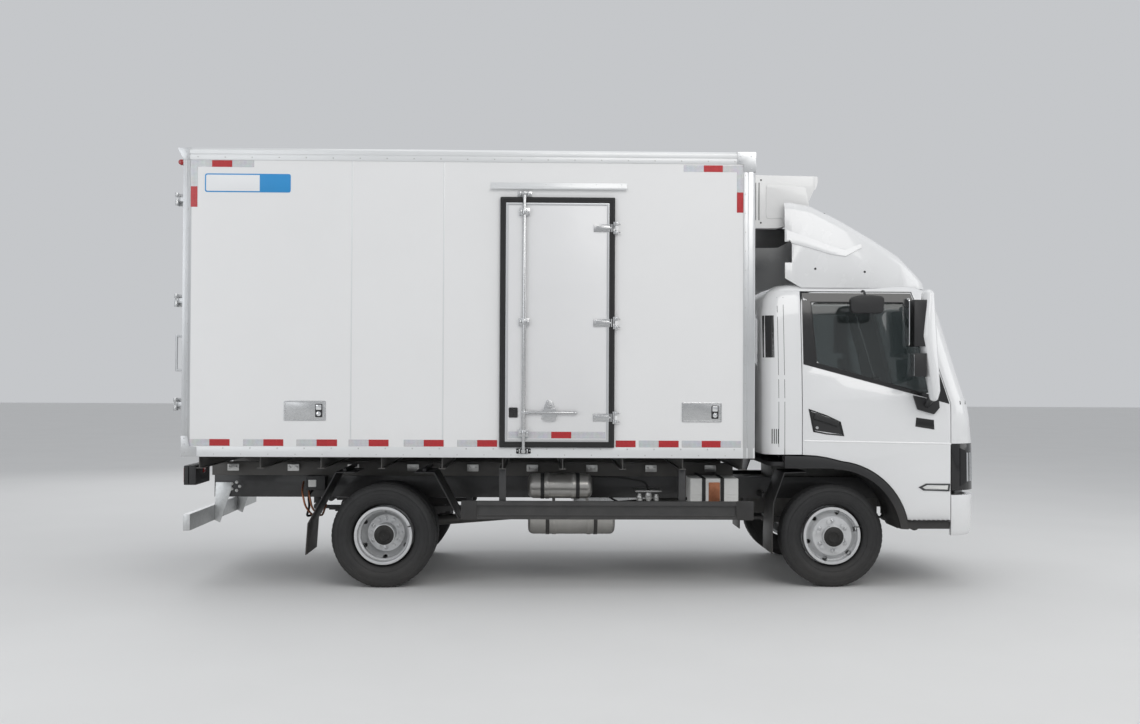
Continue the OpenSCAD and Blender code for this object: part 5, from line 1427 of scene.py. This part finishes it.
BLO, BHI = mm("battery_box")
GLO, GHI = mm("side_guards")
b = Bits()
for x in (B(2400), B(2540)):
    b.prism(rect(x - 14, BLO[2] - 2, x + 14, BHI[2] + 3), BLO[1] - 4, BLO[1] + 1, "y")
    b.prism(rect(x - 14, BLO[1] - 4, x + 14, BHI[1]), BHI[2] - 1, BHI[2] + 3, "z")
b.out("battery_straps", rubber, "chassis", 1)
b = Bits()
b.prism(rr(BLO[0] + 140, BLO[2] + 26, BLO[0] + 225, BHI[2] - 30, 8), BLO[1] - 7, BLO[1] + 1, "y")
b.out("battery_terminal_plate", copper, "chassis", 2)
b = Bits()
for k in range(5):
    z = BLO[2] + 30 + 26 * k
    for a, c in ((BLO[0] + 16, BLO[0] + 84), (BHI[0] - 84, BHI[0] - 16)):
        b.prism(rect(a, z, c, z + 9), BLO[1] - 2.5, BLO[1] + 1, "y")
b.out("battery_ribs", label_white, "chassis", 1)
# valves on their plate, air hoses and brake hoses
b = Bits()
for x, z, r, h in ((B(1930), 640, 24, 70), (B(2000), 655, 30, 90), (B(2060), 640, 22, 60)):
    b.lathe([(0, h / 2), (r * 0.7, h / 2), (r * 0.75, h * 0.3), (r, h * 0.28), (r, -h * 0.28), (r * 0.6, -h * 0.32),
             (r * 0.55, -h / 2), (0, -h / 2)], (x, -640, z), (0, 0, 1), 28)
    b.hexnut((x, -640 - r, z), (0, -1, 0), 20, 9)
b.prism(rr(B(1895), 690, B(2095), 700, 2, 2), -690, -440, "y")
b.out("air_valves", zinc, "chassis", 1)
b = Bits()
for pts, r in (([(B(2060), -650, 610), (B(2110), -655, 560), (B(2210), -650, 575), (B(2300), -640, 640)], 11),
               ([(B(1930), -650, 606), (B(1880), -655, 570), (B(1780), -640, 600), (B(1700), -600, 640)], 8),
               ([(B(2000), -655, 700), (B(1980), -620, 760), (B(1800), -560, 790), (B(1200), -470, 800)], 7),
               ([(B(-600), -420, 700), (B(-640), -520, 640), (B(-620), -560, 560), (B(-660), -480, 470),
                 (B(-560), -380, 500)], 9)):
    b.sweep(bent(pts, 40), r, 12)
b.out("air_hoses", rubber, "chassis")
b = Bits()
for pts in ([(B(-690), -440, 740), (B(-680), -560, 680), (B(-650), -580, 560), (B(-600), -520, 480),
             (B(-560), -420, 520)],
            [(B(-640), -440, 750), (B(-630), -545, 660), (B(-600), -560, 540), (B(-540), -470, 470),
             (B(-520), -400, 560)]):
    b.sweep(bent(pts, 40), 8, 12)
b.out("brake_hoses", copper, "chassis")
b = Bits()
b.prism(rr(B(-640), 690, B(-490), 800, 8), -620, -500, "y")
b.out("junction_box", black_plastic, "chassis", 3)
b = Bits()
b.prism(rr(B(-620), 716, B(-560), 770, 3, 2), -622, -619, "y")
b.out("junction_box_plate", label_white, "chassis", 0.5)
# bolted joint plates on the long sills, and guard end caps with a lower strip
b = Bits()
for i in range(9):
    x = B(-1250 + i * 470)
    b.prism(rr(x - 45, 822, x + 45, 876, 5), -402, -396, "y")
    for dx in (-28, 28):
        b.hexnut((x + dx, -402, 849), (0, -1, 0), 18, 9)
b.both().out("sill_joint_plates", zinc, "chassis", 0.8)
b = Bits()
for s in (-1, 1):
    y = s * GHI[1]
    b.prism(rect(GLO[0] + 120, GLO[2] + 20, GHI[0] - 130, GLO[2] + 34), y - s, y + s * 3, "y")
    b.prism(rr(GLO[0] - 3, GLO[2] - 3, GLO[0] + 112, GLO[2] + 138, 12), y - s * 12, y + s * 5, "y")
    b.prism(rr(GHI[0] - 124, GLO[2] - 3, GHI[0] + 3, GLO[2] + 138, 12), y - s * 12, y + s * 5, "y")
b.out("side_guard_caps", black_plastic, "chassis", 2)
b = Bits()
for s in (-1, 1):
    for k in range(5):
        a = 2 * math.pi * k / 5
        b.hexnut((B(-1230) + 34 * math.cos(a), s * 412, 700 + 34 * math.sin(a)), (0, s, 0), 17, 9)
b.out("underrun_bolts", zinc, "chassis", 0.8)
# coolant bottle behind the cab
b = Bits()
b.prism(rounded([(F(-512), 1006), (F(-392), 1006), (F(-392), 1196), (F(-412), 1216), (F(-492), 1216),
                 (F(-512), 1196)], 18), -660, -560, "y")
b.out("coolant_bottle", bottle, "chassis", 12, 4)
b = Bits()
b.prism(rr(F(-506), 1012, F(-398), 1120, 14), -662.5, -557.5, "y")
b.out("coolant_level", pink_fluid, "chassis", 9, 4)
b = Bits()
b.lathe([(0, 40), (24, 40), (29, 34), (29, 6), (24, 0), (24, -4)], (F(-452), -610, 1214), (0, 0, 1), 32)
b.out("coolant_cap", blue_cap, "chassis", 1)

# ------------------------------------------------------------------ cab inside: padded seats and instrument hood

def cushion(name, lo, hi, mat, channels=3, lean=0.0):
    """A crowned closed pad whose sides pull in between its corners, with sewn channels."""
    me = bmesh.new()
    bmesh.ops.create_cube(me, size=1)
    bmesh.ops.subdivide_edges(me, edges=me.edges[:], cuts=14, use_grid_fill=True)
    c = [(a + d) / 2000 for a, d in zip(lo, hi)]
    h = [(d - a) / 2000 for a, d in zip(lo, hi)]
    thin = h.index(min(h))
    wide = [k for k in range(3) if k != thin]
    for v in me.verts:
        q = [v.co[k] * 2 for k in range(3)]
        u, w_ = q[wide[0]], q[wide[1]]
        e = (1 - abs(u) ** 4) * (1 - abs(w_) ** 4)
        p = list(q)
        p[thin] = q[thin] * (0.62 + 0.38 * e ** 0.5)
        for a, o in ((0, w_), (1, u)):
            p[wide[a]] = q[wide[a]] * (1 - 0.035 * (1 - o * o) * abs(q[wide[a]]))
        g = min(abs(w_ * channels - round(w_ * channels)), 1) if channels else 1
        if abs(q[thin]) > 0.9:
            p[thin] *= 1 - 0.12 * math.exp(-(g * 7) ** 2) * (abs(u) < 0.8)
        v.co = Vector([c[k] + p[k] * h[k] for k in range(3)])
        v.co.x -= lean * (v.co.z - (c[2] - h[2]))
    m = bpy.data.meshes.new(name)
    me.to_mesh(m)
    me.free()
    m.materials.append(mat)
    for p in m.polygons:
        p.use_smooth = True
    ob = bpy.data.objects.new(name, m)
    bpy.context.scene.collection.objects.link(ob)
    sub = ob.modifiers.new("round", "SUBSURF")
    sub.levels = sub.render_levels = 1
    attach(ob, "cab")
    return ob


sz = mm("seats")[0][2]
frames = Bits()
first = None
for tag, y, w_ in (("left", 520, 560), ("right", -330, 900)):
    a, c = y - w_ / 2, y + w_ / 2
    frames.prism(rounded([(F(-252), sz + 1), (F(232), sz + 1), (F(218), sz + 158), (F(-245), sz + 158)], 18), a + 12,
                 c - 12, "y")
    base = cushion("seat_cushion_" + tag, (F(-258), a + 2, sz + 150), (F(238), c - 2, sz + 299), seat_cloth)
    cushion("seat_back_" + tag, (F(-250), a + 4, sz + 296), (F(-128), c - 4, sz + 926), seat_cloth, lean=0.215)
    first = first or base
    b = Bits()
    for k in (-1, 1):
        yy = y + k * w_ / 2 - k * 5
        b.sweep(bent([(F(-230), yy, sz + 272), (F(225), yy, sz + 272)], 5), 5, 8)
    b.out("seat_piping_" + tag, seat_trim, "cab")
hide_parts("seats")
frames.out("seat_frames", black_plastic, "cab", 8, 3)

DLO, DHI = mm("dashboard")
b = Bits()
b.prism(rounded([(330, DHI[2] - 210), (710, DHI[2] - 210), (690, DHI[2] - 62), (350, DHI[2] - 62)], 30), DLO[0] - 6,
        DLO[0] + 60, "x")
b.out("instrument_hood", black_plastic, "cab", 8, 3)

# close-view mirror over the right window
b = Bits()
b.prism(rounded([(F(92), 2050), (F(330), 2050), (F(338), 2176), (F(250), 2186), (F(150), 2186), (F(83), 2166)], 30),
        -1128, -1062, "y")
b.out("close_view_mirror", black_plastic, "cab_door_right", 12, 4)
b = Bits()
b.prism(rounded([(F(104), 2062), (F(318), 2062), (F(324), 2160), (F(98), 2160)], 26), -1060, -1056, "y")
b.out("close_view_mirror_face", mirror_face, "cab_door_right", 1)
b = Bits()
b.sweep(bent([(F(210), -1060, 2176), (F(210), -1030, 2216), (F(210), -985, 2226), (F(212), -950, 2222)], 24), 9, 14)
b.out("close_view_mirror_arm", black_plastic, "cab_door_right")

# dark straps round the two air tanks
b = Bits()
for z, r, xs in ((737, 95, (B(1180), B(1450))), (489, 118, (B(1220), B(1585)))):
    for x in xs:
        b.lathe(rect(r + 0.5, -14, r + 4, 14), (x, -700, z), (1, 0, 0), 48)
b.out("tank_straps", black_plastic, "chassis", 0.8)


# ------------------------------------------------------------------ camera, light and floor

cam = bpy.data.cameras.new("camera")
cam.lens, cam.sensor_width = 38.77, 36.0
cam_ob = bpy.data.objects.new("camera", cam)
bpy.context.scene.collection.objects.link(cam_ob)
place = Vector((RA / 1000 + 1.178, -10.118, 1.566))
yaw, pitch, roll = 0.0222, 0.0127, 0.0048
look = Vector((math.sin(yaw), math.cos(yaw), math.sin(pitch)))
cam_ob.matrix_world = Matrix.Translation(place) @ look.to_track_quat("-Z",
                                                            "Y").to_matrix().to_4x4() @ Matrix.Rotation(roll, 4, "Z")
bpy.context.scene.camera = cam_ob


def area(name, loc, target, size, energy, colour=(1, 1, 1), size_y=None):
    l = bpy.data.lights.new(name, "AREA")
    l.energy, l.size, l.color = energy, size, colour
    if size_y:
        l.shape, l.size_y = "RECTANGLE", size_y
    ob = bpy.data.objects.new(name, l)
    bpy.context.scene.collection.objects.link(ob)
    ob.location = loc
    ob.rotation_euler = (Vector(target) - Vector(loc)).to_track_quat("-Z", "Y").to_euler()
    return ob


area("key", (3.5, -9.5, 7.5), (0, 0, 1.4), 7, 300, (1, 0.985, 0.96), 5)
area("fill", (-7.5, -8.0, 4.0), (-0.5, 0, 1.5), 6, 135, (0.96, 0.98, 1))
area("front", (9.5, -2.0, 4.5), (1.5, 0, 1.4), 5, 115)
area("back", (-5.0, 8.5, 6.5), (0, 0, 1.5), 7, 160)
area("top", (0, 0, 9.5), (0, 0, 0), 8, 140)
w = bpy.data.worlds.new("studio")
w.use_nodes = True
w.node_tree.nodes["Background"].inputs[0].default_value = (0.90, 0.92, 0.95, 1)
w.node_tree.nodes["Background"].inputs[1].default_value = 0.62
bpy.context.scene.world = w

floor_mesh = bpy.data.meshes.new("studio_floor")
floor_mesh.from_pydata([(-60, -60, 0), (60, -60, 0), (60, 60, 0), (-60, 60, 0)], [], [(0, 1, 2, 3)])
floor_mesh.materials.append(surface("floor_pale", (0.72, 0.72, 0.715), rough=0.75, vary=0.02, scale=0.8))
studio_floor = bpy.data.objects.new("studio_floor", floor_mesh)
bpy.context.scene.collection.objects.link(studio_floor)
bpy.context.scene.view_settings.view_transform = "Standard"
